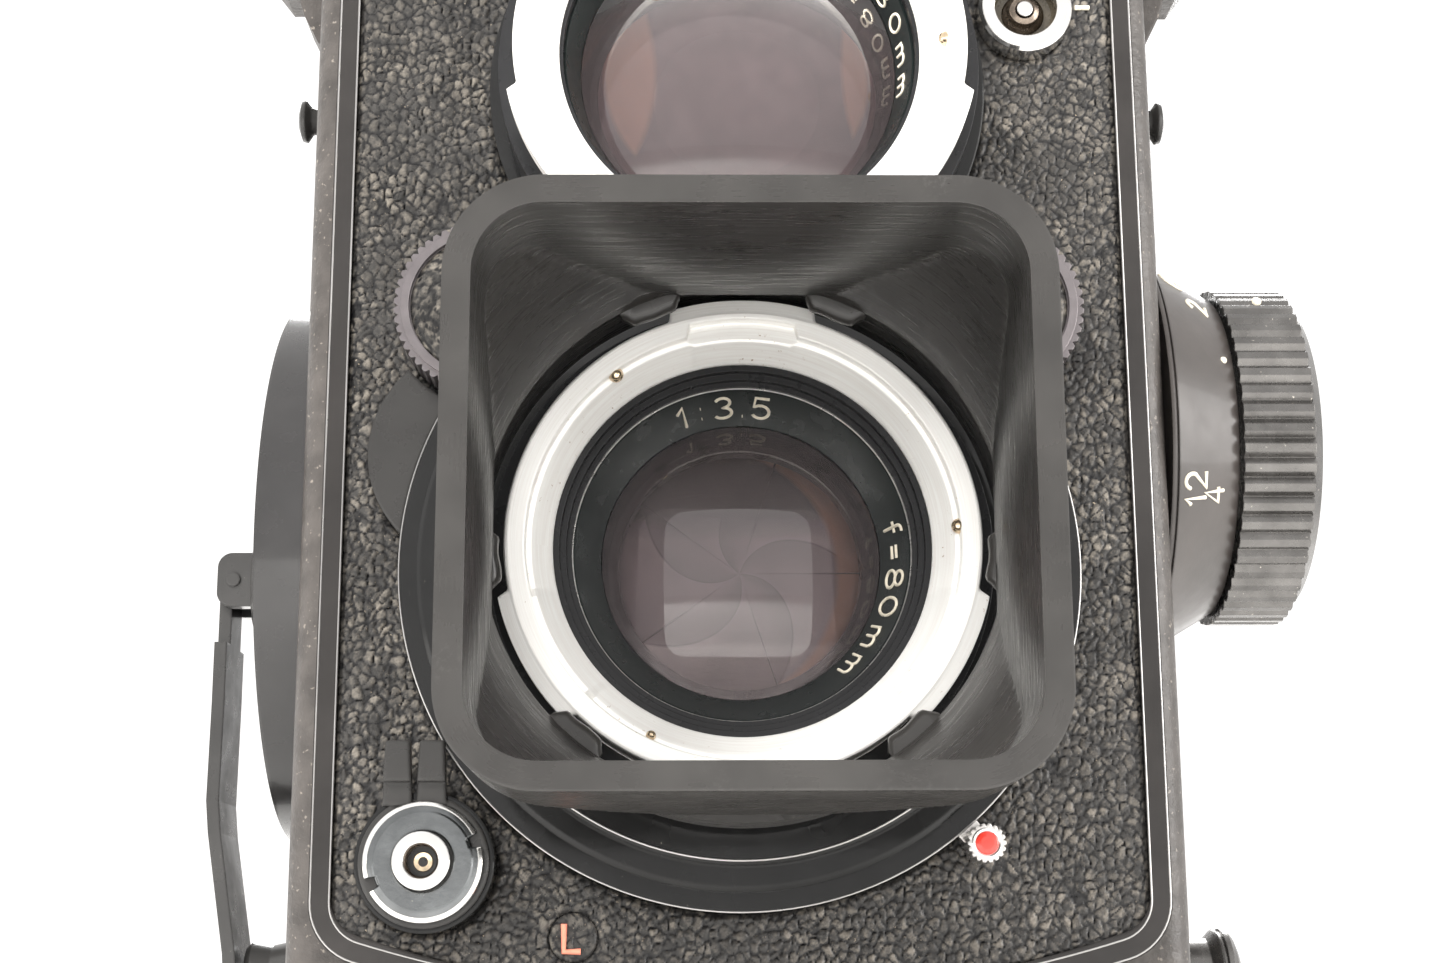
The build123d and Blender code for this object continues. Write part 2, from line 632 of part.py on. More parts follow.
def make_release_collar():
    """The locking collar round the button, with a forked finger tab."""
    collar = cyl_y(4.8, COLLAR_Y0, COLLAR_Y1, RELEASE_X, RELEASE_Z)
    for dx in (-2.2, 0.55):
        tab = polygon([(dx - 1.15, 3.6), (dx + 1.15, 3.6), (dx + 1.0, 9.6), (dx - 1.0, 9.6)])
        collar += Pos(RELEASE_X, 0, RELEASE_Z) * prism_y(tab, COLLAR_Y0, COLLAR_Y1)
    collar -= cyl_y(2.3 + 2 * RUN, -52, -48, RELEASE_X, RELEASE_Z)
    return collar


def make_timer_lever():
    """The self-timer lever: a ring behind the panel, an arm and a knurled finger knob."""
    ring = prism_y(sector(23.5, 26.9, -45, 40, 16), -47.7, -46.5)
    arm = polygon([(26.0, -1.1), (TIMER_R, -0.9), (TIMER_R, 0.9), (26.0, 1.1)])
    lever = ring + prism_y(arm, -47.7, -46.5)
    lever += Pos(TIMER_R, 0, 0) * prism_y(star(1.35, 1.55, 18), -50.6, -46.5)
    return Pos(0, 0, TAKING_Z) * Rot(0, -TIMER_ANGLE, 0) * lever


def square_face(half, r):
    """A rounded square in (x, z)."""
    return RectangleRounded(2 * half, 2 * half, r)


def make_lens_hood():
    """The printed square hood: square mouth, conical throat and a collar with six claws."""
    depth = HOOD_NECK_Y - HOOD_FRONT_Y
    body = prism_y(square_face(HOOD_HALF, HOOD_CORNER_R), HOOD_FRONT_Y, HOOD_NECK_Y)
    cone = turned_y([(0, HOOD_FRONT_Y - 1), (32.4, HOOD_FRONT_Y - 1), (22.0, HOOD_NECK_Y), (0, HOOD_NECK_Y)],
                    0, 0)
    body = body & cone
    body += cyl_y(21.9, HOOD_NECK_Y - 2.5, HOOD_BACK_Y, 0, 0)
    mouth = prism_y(square_face(HOOD_OPEN_HALF, HOOD_CORNER_R - 2), HOOD_FRONT_Y - 1, HOOD_NECK_Y)
    flare = (28.5 - 20.2) / depth
    throat = turned_y([(0, HOOD_FRONT_Y - 1), (28.5 + flare, HOOD_FRONT_Y - 1), (20.2, HOOD_NECK_Y),
                       (0, HOOD_NECK_Y)], 0, 0)
    body -= mouth & throat
    body -= cyl_y(20.6, HOOD_NECK_Y, HOOD_BACK_Y + 1, 0, 0)
    for a in (-5, 68.5, 111.5, 185, 230, 310):
        body += prism_y(sector(18.9, 21.0, a - 7, a + 7, 3), HOOD_NECK_Y, -59.8)
    return Pos(0, 0, TAKING_Z) * body


# ======================================================================== right side knobs
def make_focus_knob():
    """The fluted grip of the focusing knob and its shaft."""
    outline = Plane.YZ.offset(KNOB_IN_X) * star(KNOB_R - 0.5, KNOB_R, 56)
    grip = Pos(0, KNOB_Y, KNOB_Z) * extrude(outline, amount=KNOB_OUT_X - KNOB_IN_X - 1.0)
    grip += turned_x([(KNOB_OUT_X - 1.0, 0), (KNOB_OUT_X - 1.0, KNOB_R - 0.4), (KNOB_OUT_X, KNOB_R - 1.6),
                      (KNOB_OUT_X, 13.2), (KNOB_OUT_X - 0.5, 12.8), (KNOB_OUT_X - 0.5, 0)], KNOB_Y, KNOB_Z)
    grip += cyl_x(14.2, SCALE_OUT_X, KNOB_IN_X + 0.2, KNOB_Y, KNOB_Z)
    return grip + cyl_x(4.0, 34.8, SCALE_OUT_X + 0.1, KNOB_Y, KNOB_Z)


def make_focus_scale():
    """The conical distance scale between the body and the grip."""
    points = [(38.6, 4.0), (38.6, 19.7), (39.0, 19.7), (39.0, 18.8), (SCALE_IN_X, 18.8), (SCALE_IN_X, 19.2),
              (SCALE_OUT_X, 15.4), (SCALE_OUT_X, 4.0)]
    return turned_x(points, KNOB_Y, KNOB_Z)


def spool_knob(y, z):
    """A pull-out knob whose shaft carries one end of a film spool."""
    points = [(30.6, 0), (30.6, 2.0), (31.2, 2.65), (32.8, 2.65), (32.8, 3.0), (38.6, 3.0), (38.6, 4.1),
              (44.7, 4.1), (45.4, 4.85), (45.6, 5.0), (45.75, 4.7), (46.0, 4.7), (46.1, 5.0), (46.6, 5.0),
              (47.1, 4.4), (47.5, 3.5), (47.8, 2.3), (47.95, 1.2), (48.0, 0)]
    return turned_x(points, y, z)


# ======================================================================== film transport
def spool(y, z):
    """A film spool: two flanges on a slotted core."""
    points = [(-SPOOL_HALF_L, 2.7), (-SPOOL_HALF_L, SPOOL_R), (-SPOOL_HALF_L + 1, SPOOL_R),
              (-SPOOL_HALF_L + 1, 5.5), (SPOOL_HALF_L - 1, 5.5), (SPOOL_HALF_L - 1, SPOOL_R),
              (SPOOL_HALF_L, SPOOL_R), (SPOOL_HALF_L, 2.7)]
    return turned_x(points, y, z)


def make_takeup_spool():
    """The upper spool, solid where the drive dog enters it."""
    body = spool(TAKEUP_Y, TAKEUP_Z)
    return body - box(-SPOOL_HALF_L - 1, -SPOOL_HALF_L + 2, TAKEUP_Y - 4.5, TAKEUP_Y + 4.5,
                      TAKEUP_Z - 0.8, TAKEUP_Z + 0.8)


def make_takeup_gear(phase):
    """The take-up gear with the shaft and dog that turn the upper spool."""
    gear = gear_x(TAKEUP_TEETH, phase, TAKEUP_Y, TAKEUP_Z)
    gear += cyl_x(3.0, -36, -32.5, TAKEUP_Y, TAKEUP_Z)
    gear += cyl_x(2.7, -32.6, -30.9, TAKEUP_Y, TAKEUP_Z)
    gear += box(-32.6, -31.0, TAKEUP_Y - 4.4, TAKEUP_Y + 4.4, TAKEUP_Z - 0.7, TAKEUP_Z + 0.7)
    return gear


def make_feed_spool():
    """The lower spool with the stub that turns in the crank side wall."""
    return spool(FEED_Y, FEED_Z) + cyl_x(2.0, -34.4, -31.0, FEED_Y, FEED_Z) + \
        cyl_x(2.75, -32.4, -31.0, FEED_Y, FEED_Z)


def roller(y, z, r):
    """A film roller waisted so that only its ends touch the film."""
    points = [(-35.0, 0), (-35.0, 1.5), (-33.0, 1.5), (-33.0, r), (-29.0, r), (-28.4, r - 0.4),
              (28.4, r - 0.4), (29.0, r), (33.0, r), (33.0, 1.5), (35.0, 1.5), (35.0, 0)]
    return turned_x(points, y, z)


# ======================================================================== crank
def make_crank_spindle():
    """The crank's shaft with its gear inside and its forked hub outside."""
    spindle = gear_x(CRANK_TEETH, TRAIN_ANGLE, CRANK_Y, CRANK_Z)
    spindle += cyl_x(3.0, -45.0, -34.2, CRANK_Y, CRANK_Z)
    spindle += turned_x([(-44.5, 0), (-44.5, 6.0), (-45.2, 6.0), (-46.0, 5.0), (-46.0, 0)], CRANK_Y, CRANK_Z)
    for side in (-1, 1):
        ear = box(-49.3, -45.9, CRANK_Y + side * 2.6, CRANK_Y + side * 4.1, CRANK_Z - 2.6, CRANK_Z + 2.6)
        ear = fillet(ear.edges().filter_by(Axis.Y).group_by(Axis.X)[0], 1.4)
        spindle += ear
    return spindle + cyl_y(0.7, CRANK_Y - 4.3, CRANK_Y + 4.3, CRANK_PIVOT_X, CRANK_Z)


def make_idler_gear():
    """The gear between crank and take-up, on its own stud."""
    phase = TRAIN_ANGLE + 180 + 180 / IDLER_TEETH
    gear = gear_x(IDLER_TEETH, phase, IDLER_Y, IDLER_Z)
    return gear + cyl_x(1.5, -36, -34.0, IDLER_Y, IDLER_Z)


def takeup_phase():
    """Angle of a take-up tooth that meshes with the idler at rest."""
    idler_phase = TRAIN_ANGLE + 180 + 180 / IDLER_TEETH
    part = ((TRAIN_ANGLE - idler_phase) * IDLER_TEETH / 360) % 1.0
    return TRAIN_ANGLE + 180 + (part + 0.5) * 360 / TAKEUP_TEETH


def make_crank_arm():
    """The folding arm, bent towards the body half way, with the pin that the handle spins on."""
    outer = [(-49.3, CRANK_Z), (-49.3, CRANK_Z - 12), (-49.4, CRANK_Z - 21), (-49.1, CRANK_Z - 24),
             (-47.3, CRANK_Z - 35), (-46.8, CRANK_Z - 41.2)]
    inner = [(x + CRANK_ARM_T, z) for x, z in reversed(outer)]
    strip = polygon(outer + inner)
    wide = prism_y(strip, CRANK_Y - 4.1, CRANK_Y + 4.1)
    handle_z = CRANK_Z - CRANK_ARM_L
    keep = cyl_x(4.1, -50, -40, CRANK_Y, handle_z)
    keep += box(-50, -40, CRANK_Y - 4.1, CRANK_Y + 4.1, handle_z, CRANK_Z - 6)
    keep += box(-50, -40, CRANK_Y - 2.4, CRANK_Y + 2.4, CRANK_Z - 7, CRANK_Z)
    arm = wide & keep
    arm += cyl_y(1.5, CRANK_Y - 2.4, CRANK_Y + 2.4, CRANK_PIVOT_X, CRANK_Z)
    arm -= cyl_y(0.7 + RUN, CRANK_Y - 5, CRANK_Y + 5, CRANK_PIVOT_X, CRANK_Z)
    arm += cyl_x(1.2, -46.5, -40.2, CRANK_Y, handle_z)
    return arm + cyl_x(2.0, -40.5, -39.9, CRANK_Y, handle_z)


def make_crank_handle():
    """The little grip that spins on the arm's pin."""
    points = [(-45.6, 1.2 + RUN), (-45.6, 2.7), (-45.0, 3.2), (-43.2, 2.8), (-41.4, 3.2), (-40.8, 2.8),
              (-40.8, 1.2 + RUN)]
    return turned_x(points, CRANK_Y, CRANK_Z - CRANK_ARM_L)


# ======================================================================== back door
def make_door_shell():
    """The L-shaped back and base, with hinge knuckles at the top."""
    plan = rounded(BODY_HALF_W, BASE_FRONT_Y, DOOR_REAR_Y, 3.0)
    door = Pos(0, 0, 1.0) * extrude(plan, amount=DOOR_TOP_Z - 1.0)
    door -= box(-45, 45, -45, DOOR_Y, 2.9, 130)
    door -= box(-BODY_HALF_W + 1.4, BODY_HALF_W - 1.4, DOOR_Y - 1, DOOR_REAR_Y - 1.4, 2.9, DOOR_TOP_Z - 1.4)
    for x0, x1 in ((-27.7, -4.3), (4.3, 27.7)):
        door += cyl_x(2.0, x0, x1, DOOR_HINGE_Y, DOOR_HINGE_Z)
        door += box(x0, x1, DOOR_HINGE_Y - 1.0, DOOR_HINGE_Y + 1.6, DOOR_TOP_Z - 0.5, DOOR_HINGE_Z)
    door -= cyl_x(1.2 + RUN, -28, 28, DOOR_HINGE_Y, DOOR_HINGE_Z)
    for side in (-1, 1):
        door += cyl_z(2.6, 0, 1.0, side * 29.0, 35.5)
    door -= cyl_z(8.0, 0, 1.5)
    door -= cyl_z(5.0, 0, 3.5)
    for side in (-1, 1):
        door += cyl_y(1.5, 35.6, DOOR_REAR_Y - 1.3, side * 15.0, TAKING_Z)
    return door


def make_door_leather():
    """The leather on the outside of the back."""
    return box(-34.0, 34.0, DOOR_REAR_Y, DOOR_REAR_Y + LEATHER_T, 8, 114)


def make_tripod_socket():
    """The flanged, tapped socket in the middle of the base."""
    socket = cyl_z(8.0, 0, 1.5) + cyl_z(5.0, 1.4, SOCKET_LENGTH)
    return socket - cyl_z(SOCKET_R, -1, SOCKET_LENGTH + 1)


def make_door_latch():
    """The latch ring that turns round the tripod socket."""
    ring = Pos(0, 0, 0.15) * extrude(Circle(12.5) - Circle(8.0 + RUN), amount=0.65)
    tab = box(-3.2, 3.2, -18.5, -11.5, 0.15, 0.8)
    return ring + tab


def make_pressure_plate():
    """The plate that holds the film flat, with sockets for its two guide studs."""
    plate = box(-31, 31, 32.4, 33.4, 18, 82)
    for side in (-1, 1):
        boss = cyl_y(2.6, 33.4, 37.5, side * 15.0, TAKING_Z)
        plate += boss
        plate -= cyl_y(1.5 + RUN, 33.6, 38, side * 15.0, TAKING_Z)
    return plate


# ======================================================================== finder hood
def make_finder_frame():
    """The frame on top of the body: four walls of rising height and the hinge lugs."""
    frame = box(-36, 36, -36, 36, BODY_TOP_Z, BODY_TOP_Z + 1.2)
    frame -= box(-30, 30, -30, 30, BODY_TOP_Z - 1, BODY_TOP_Z + 2)
    frame += box(-36, 36, -36, -34.9, BODY_TOP_Z, 144.9)
    frame += box(-36, 36, 34.9, 36, BODY_TOP_Z, 138.6)
    frame += box(-36, -34.9, -36, 36, BODY_TOP_Z, LEFT_HINGE_Z - 1.4)
    frame += box(34.9, 36, -36, 36, BODY_TOP_Z, RIGHT_HINGE_Z - 1.4)
    for x, z in ((-SIDE_HINGE_X, LEFT_HINGE_Z), (SIDE_HINGE_X, RIGHT_HINGE_Z)):
        outer = math.copysign(36, x)
        for side in (-1, 1):
            frame += cyl_y(BARREL_R, side * 31.3, side * 33.2, x, z)
            frame += box(x, outer, side * 31.3, side * 33.2, z - 1.5, z + 0.6)
        frame -= cyl_y(HINGE_PIN_R, -33.3, 33.3, x, z)
    for side in (-1, 1):
        frame += cyl_x(BARREL_R, side * 29.3, side * 31.6, REAR_HINGE_Y, REAR_HINGE_Z)
        frame += box(side * 29.3, side * 31.6, REAR_HINGE_Y, 36, REAR_HINGE_Z - 1.5, REAR_HINGE_Z + 0.6)
        frame += cyl_x(BARREL_R + 0.1, side * 30.3, side * 33.5, LID_HINGE_Y, LID_HINGE_Z)
        frame += box(side * 30.3, side * 33.5, -36, -34.4, 144.8, LID_HINGE_Z)
    frame -= cyl_x(HINGE_PIN_R, -31.7, 31.7, REAR_HINGE_Y, REAR_HINGE_Z)
    frame -= cyl_x(HINGE_PIN_R, -33.6, 33.6, LID_HINGE_Y, LID_HINGE_Z)
    return frame


def make_hinge_pins():
    """The five steel pins of the back door and the finder panels."""
    pins = [cyl_x(1.2, -36, 36, DOOR_HINGE_Y, DOOR_HINGE_Z),
            cyl_y(HINGE_PIN_R, -33.2, 33.2, -SIDE_HINGE_X, LEFT_HINGE_Z),
            cyl_y(HINGE_PIN_R, -33.2, 33.2, SIDE_HINGE_X, RIGHT_HINGE_Z),
            cyl_x(HINGE_PIN_R, -31.6, 31.6, REAR_HINGE_Y, REAR_HINGE_Z),
            cyl_x(HINGE_PIN_R, -33.5, 33.5, LID_HINGE_Y, LID_HINGE_Z)]
    return Compound(pins)


def make_finder_lid():
    """The lid with its skirts and the ears that carry the magnifier."""
    lid = Pos(0, 0, 131.0) * extrude(rounded(38, -36.7, 37.2, 1.5), amount=LID_TOP_Z - 131.0)
    lid -= box(-36.6, 36.6, -40, 36.2, 130, LID_PLATE_Z)
    lid -= box(-40, 40, 36.2, 38, 130, 139.5)
    lid -= box(-40, 40, -40, -35.8, 130, LID_PLATE_Z)
    lid -= box(-34, 34, -33, 33.5, LID_TOP_Z - 0.5, LID_TOP_Z + 1)
    for side in (-1, 1):
        lid += box(side * 15.6, side * 16.8, MAGNIFIER_Y - 1.4, MAGNIFIER_Y + 1.4, 144.9, LID_PLATE_Z + 0.1)
    lid += cyl_x(BARREL_R + 0.1, -30, 30, LID_HINGE_Y, LID_HINGE_Z)
    lid += box(-30, 30, -36, -34.4, LID_HINGE_Z, LID_PLATE_Z + 0.2)
    lid -= cyl_x(HINGE_PIN_R + RUN, -31, 31, LID_HINGE_Y, LID_HINGE_Z)
    return lid + cyl_x(HINGE_PIN_R, -16.4, 16.4, MAGNIFIER_Y, MAGNIFIER_Z)


def side_outline(direction):
    """Plan of a folded side panel, from its hinge inwards, cut back at both ends."""
    reach = [(32.0, 5.8), (24, 16), (14, 27.5), (6, 36), (-16, 36), (-25, 26), (-33.0, 12.5)]
    edge = [(32.0, 0.4), *reach, (-33.0, 0.4)]
    return make_face(Polyline(*[(direction * u, y) for y, u in edge], close=True))


def side_panel(hinge_x, hinge_z, direction):
    """One side of the finder hood, folded flat."""
    sheet = Pos(hinge_x, 0, hinge_z - SHEET_T / 2) * extrude(side_outline(direction), amount=SHEET_T)
    sheet &= box(-40, 40, -31, 31, 120, 150)
    sheet += cyl_y(BARREL_R, -31, 31, hinge_x, hinge_z)
    return sheet - cyl_y(HINGE_PIN_R + RUN, -32, 32, hinge_x, hinge_z)


def make_finder_rear():
    """The rear panel of the finder hood, folded flat above the side panels."""
    sheet = box(-31.6, 31.6, REAR_HINGE_Y - 33.5, REAR_HINGE_Y - 1.6, REAR_HINGE_Z - 0.4, REAR_HINGE_Z + 0.4)
    sheet += box(-29, 29, REAR_HINGE_Y - 2, REAR_HINGE_Y, REAR_HINGE_Z - 0.4, REAR_HINGE_Z + 0.4)
    sheet += cyl_x(BARREL_R, -29, 29, REAR_HINGE_Y, REAR_HINGE_Z)
    return sheet - cyl_x(HINGE_PIN_R + RUN, -32, 32, REAR_HINGE_Y, REAR_HINGE_Z)


def make_magnifier_frame():
    """The square frame of the focusing magnifier, hung from the lid."""
    frame = box(-15.2, 15.2, MAGNIFIER_Y, MAGNIFIER_Y + 29, 144.4, 146.6)
    frame += cyl_x(1.2, -15.2, 15.2, MAGNIFIER_Y, MAGNIFIER_Z)
    frame -= cyl_x(HINGE_PIN_R + RUN, -17, 17, MAGNIFIER_Y, MAGNIFIER_Z)
    frame -= cyl_z(12.4, 140, 150, 0, MAGNIFIER_Y + 15)
    return frame


def make_magnifier_lens():
    """The magnifier's glass."""
    return cyl_z(12.4, 144.2, 146.8, 0, MAGNIFIER_Y + 15)


def make_ground_glass():
    """The square focusing screen."""
    return box(-29.9, 29.9, -29.9, 29.9, SCREEN_Z, SCREEN_Z + 1.8)


# ======================================================================== assembly
def build_parts():
    """Every node of the camera by name."""
    lugs = [(-46, -13), (193, 225), (73, 107)]
    return {
        "body_shell": make_body_shell(),
        "front_baffle": make_front_baffle(),
        "side_leathers": make_side_leathers(),
        "finder_frame": make_finder_frame(),
        "hinge_pins": make_hinge_pins(),
        "ground_glass": make_ground_glass(),
        "reflex_mirror": make_reflex_mirror(),
        "film_gate": make_film_gate(),
        "strap_lugs": make_strap_lugs(),
        "case_studs": make_case_studs(),
        "crank_cover": make_crank_cover(),
        "body_screws": make_body_screws(),
        "front_feet": make_front_feet(),
        "lens_board": make_lens_board(),
        "board_leather": make_board_leather(),
        "lens_panel": make_lens_panel(),
        "panel_lobe": make_panel_lobe(),
        "shutter_housing": make_shutter_housing(),
        "shutter_blades": make_shutter_blades(),
        "taking_ring": bayonet_ring(TAKING_Z, lugs),
        "taking_barrel": make_taking_barrel(),
        "taking_name_ring": name_ring(TAKING_GLASS_R + RUN, TAKING_NAME_R, -50.6, -54.5, -50.0, TAKING_Z),
        "taking_glass": front_glass(TAKING_GLASS_R, -50.5, 2.0, 1.6, TAKING_Z),
        "viewing_ring": bayonet_ring(VIEWING_Z, lugs),
        "viewing_barrel": make_viewing_barrel(),
        "viewing_name_ring": name_ring(VIEWING_GLASS_R + RUN, VIEWING_NAME_R, -51.8, -55.2, -51.2, VIEWING_Z),
        "viewing_glass": front_glass(VIEWING_GLASS_R, -51.7, 2.6, 1.5, VIEWING_Z),
        "rear_glasses": make_rear_glasses(),
        "pc_socket": make_pc_socket(),
        "release_base": make_release_base(),
        "guide_rods": make_guide_rods(),
        "aperture_dial": thumb_dial(-DIAL_X, DIAL_Z),
        "speed_dial": thumb_dial(DIAL_X, DIAL_Z),
        "release_button": make_release_button(),
        "release_collar": make_release_collar(),
        "timer_lever": make_timer_lever(),
        "lens_hood": make_lens_hood(),
        "focus_knob": make_focus_knob(),
        "focus_scale": make_focus_scale(),
        "upper_spool_knob": spool_knob(TAKEUP_Y, TAKEUP_Z),
        "lower_spool_knob": spool_knob(FEED_Y, FEED_Z),
        "takeup_gear": make_takeup_gear(takeup_phase()),
        "takeup_spool": make_takeup_spool(),
        "feed_spool": make_feed_spool(),
        "idler_gear": make_idler_gear(),
        "film_roller": roller(ROLLER_Y, ROLLER_Z, 3.0),
        "crank_spindle": make_crank_spindle(),
        "crank_arm": make_crank_arm(),
        "crank_handle": make_crank_handle(),
        "door_shell": make_door_shell(),
        "door_leather": make_door_leather(),
        "tripod_socket": make_tripod_socket(),
        "door_latch": make_door_latch(),
        "pressure_plate": make_pressure_plate(),
        "finder_lid": make_finder_lid(),
        "finder_left": side_panel(-SIDE_HINGE_X, LEFT_HINGE_Z, 1),
        "finder_right": side_panel(SIDE_HINGE_X, RIGHT_HINGE_Z, -1),
        "finder_rear": make_finder_rear(),
        "magnifier_frame": make_magnifier_frame(),
        "magnifier_lens": make_magnifier_lens(),
    }


os.makedirs("parts", exist_ok=True)
for node, shape in build_parts().items():
    export_step(shape, f"parts/{node}.step")
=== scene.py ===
from math import atan2, cos, degrees, hypot, pi, radians, sin, sqrt

import bpy
import numpy as np
from mathutils import Matrix, Vector


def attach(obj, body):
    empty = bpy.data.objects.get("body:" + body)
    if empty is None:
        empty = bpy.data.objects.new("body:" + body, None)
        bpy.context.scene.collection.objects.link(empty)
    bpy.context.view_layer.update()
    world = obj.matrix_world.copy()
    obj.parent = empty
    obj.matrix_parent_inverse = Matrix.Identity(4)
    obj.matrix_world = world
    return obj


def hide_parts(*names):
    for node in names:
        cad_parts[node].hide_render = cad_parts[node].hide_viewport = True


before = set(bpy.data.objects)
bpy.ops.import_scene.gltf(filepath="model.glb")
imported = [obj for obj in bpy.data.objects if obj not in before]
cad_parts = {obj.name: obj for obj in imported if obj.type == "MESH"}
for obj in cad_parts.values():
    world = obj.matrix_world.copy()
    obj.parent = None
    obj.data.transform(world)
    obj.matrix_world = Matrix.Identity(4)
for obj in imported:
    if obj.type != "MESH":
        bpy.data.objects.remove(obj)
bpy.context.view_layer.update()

MM = 0.001
STANDARD = "front_standard"

# ---- places on the camera, millimetres, in the frame of the CAD model
TAKING_Z, VIEWING_Z = 50.0, 92.0
LEATHER_Y = -46.0
RING_Y = -59.5
DIAL_X, DIAL_Z = 21.5, 71.5
PC_X, PC_Z = 25.4, 100.0
RELEASE_X, RELEASE_Z = -25.4, 25.9
MARK_X, MARK_Z = -13.6, 20.0
KNOB_Y, KNOB_Z, KNOB_R = -19.5, 65.95, 16.2
COVER_Y, COVER_Z = -9.5, 56.3
TIMER_X, TIMER_Z = 19.48, 27.19
BOW_Z = 121.9


def show(obj):
    bpy.context.scene.collection.objects.link(obj)


# ---- node materials
def socket_defaults(node, **values):
    for key, value in values.items():
        node.inputs[key.replace("_", " ")].default_value = value


class Shader:
    """A small builder round one Principled shader whose coordinates are the part's own."""

    def __init__(self, name):
        self.mat = bpy.data.materials.new(name)
        self.mat.use_nodes = True
        self.tree = self.mat.node_tree
        self.bsdf = self.tree.nodes["Principled BSDF"]
        self.coord = self.add("ShaderNodeTexCoord").outputs["Object"]

    def add(self, kind, **props):
        node = self.tree.nodes.new(kind)
        for key, value in props.items():
            setattr(node, key, value)
        return node

    def link(self, a, b):
        self.tree.links.new(a, b)

    def noise(self, size_mm, detail=3.0, roughness=0.55, coord=None):
        node = self.add("ShaderNodeTexNoise")
        socket_defaults(node, Scale=1.0 / (size_mm * MM), Detail=detail, Roughness=roughness)
        self.link(coord or self.coord, node.inputs["Vector"])
        return node.outputs["Fac"]

    def ramp(self, fac, low, high):
        """Black below low and white above high."""
        node = self.add("ShaderNodeValToRGB")
        for element, place, tone in zip(node.color_ramp.elements, (low, high), (0.0, 1.0)):
            element.position = place
            element.color = (tone, tone, tone, 1.0)
        self.link(fac, node.inputs["Fac"])
        return node.outputs["Color"]

    def span(self, fac, low=0.0, high=1.0, from_low=0.3, from_high=0.7):
        node = self.add("ShaderNodeMapRange")
        socket_defaults(node, From_Min=from_low, From_Max=from_high, To_Min=low, To_Max=high)
        self.link(fac, node.inputs["Value"])
        return node.outputs["Result"]

    def mix(self, fac, a, b):
        node = self.add("ShaderNodeMix", data_type="RGBA")
        self.link(fac, node.inputs["Factor"])
        for value, socket in ((a, node.inputs[6]), (b, node.inputs[7])):
            if isinstance(value, tuple):
                socket.default_value = (*value, 1.0)
            else:
                self.link(value, socket)
        return node.outputs[2]

    def math(self, operation, a, b=None):
        node = self.add("ShaderNodeMath", operation=operation)
        for value, socket in zip((a, b), node.inputs):
            if value is None:
                continue
            if isinstance(value, (int, float)):
                socket.default_value = value
            else:
                self.link(value, socket)
        return node.outputs[0]

    def times(self, a, b):
        return self.math("MULTIPLY", a, b)

    def bump(self, height, depth_mm, normal=None):
        node = self.add("ShaderNodeBump")
        socket_defaults(node, Strength=1.0, Distance=depth_mm * MM)
        self.link(height, node.inputs["Height"])
        if normal is not None:
            self.link(normal, node.inputs["Normal"])
        return node.outputs["Normal"]

    def soft_edges(self, radius_mm):
        node = self.add("ShaderNodeBevel", samples=4)
        socket_defaults(node, Radius=radius_mm * MM)
        return node.outputs["Normal"]

    def plan(self, z):
        """X, height above an axis along Y, distance from that axis, and Y, in metres."""
        split = self.add("ShaderNodeSeparateXYZ")
        self.link(self.coord, split.inputs[0])
        x, dz = split.outputs[0], self.math("SUBTRACT", split.outputs[2], z * MM)
        far = self.math("SQRT", self.math("ADD", self.times(x, x), self.times(dz, dz)))
        return x, dz, far, split.outputs[1]

    def around(self, z, scale):
        """Coordinates for turning marks: mostly the distance from an axis along Y."""
        x, dz, far, y = self.plan(z)
        join = self.add("ShaderNodeCombineXYZ")
        angle = self.math("ARCTAN2", dz, x)
        for i, (value, share) in enumerate(((far, scale), (angle, 0.002), (y, 0.3))):
            self.link(self.times(value, share), join.inputs[i])
        return join.outputs[0]

    def feed(self, socket, source):
        """Link a source to one of the Principled shader's sockets."""
        self.link(source, self.bsdf.inputs[socket])

    def toned(self, colour, amount, size_mm, detail=3.0):
        """A colour that wanders between a darker and a lighter tone."""
        return self.mix(self.span(self.noise(size_mm, detail)), *tones(colour, amount))


def tones(colour, amount):
    dark = tuple(c * (1 - amount) for c in colour)
    light = tuple(min(1.0, c * (1 + amount)) for c in colour)
    return dark, light


def finish(name, colour, rough, metal=0.0, tone=0.2, patch=6.0, grain=0.01, pore=0.2, coat=0.0, edge=0.1,
           specks=None, spec=0.5):
    """A painted, plated or moulded finish with uneven tone, uneven gloss, fine relief and soft edges."""
    s = Shader(name)
    base = s.toned(colour, tone, patch)
    if specks:
        speck_colour, size, level = specks
        hit = s.ramp(s.noise(size, 2.0), level, min(1.0, level + 0.04))
        base = s.mix(hit, base, speck_colour)
    s.feed("Base Color", base)
    gloss = s.span(s.noise(patch * 0.37, 4.0), max(0.02, rough - 0.06), rough + 0.06)
    s.feed("Roughness", gloss)
    socket_defaults(s.bsdf, Metallic=metal, Specular_IOR_Level=spec)
    if coat:
        socket_defaults(s.bsdf, Coat_Weight=coat, Coat_Roughness=0.06)
    normal = s.soft_edges(edge) if edge else None
    if grain:
        normal = s.bump(s.noise(pore, 3.0), grain, normal=normal)
    if normal is not None:
        s.feed("Normal", normal)
    return s.mat


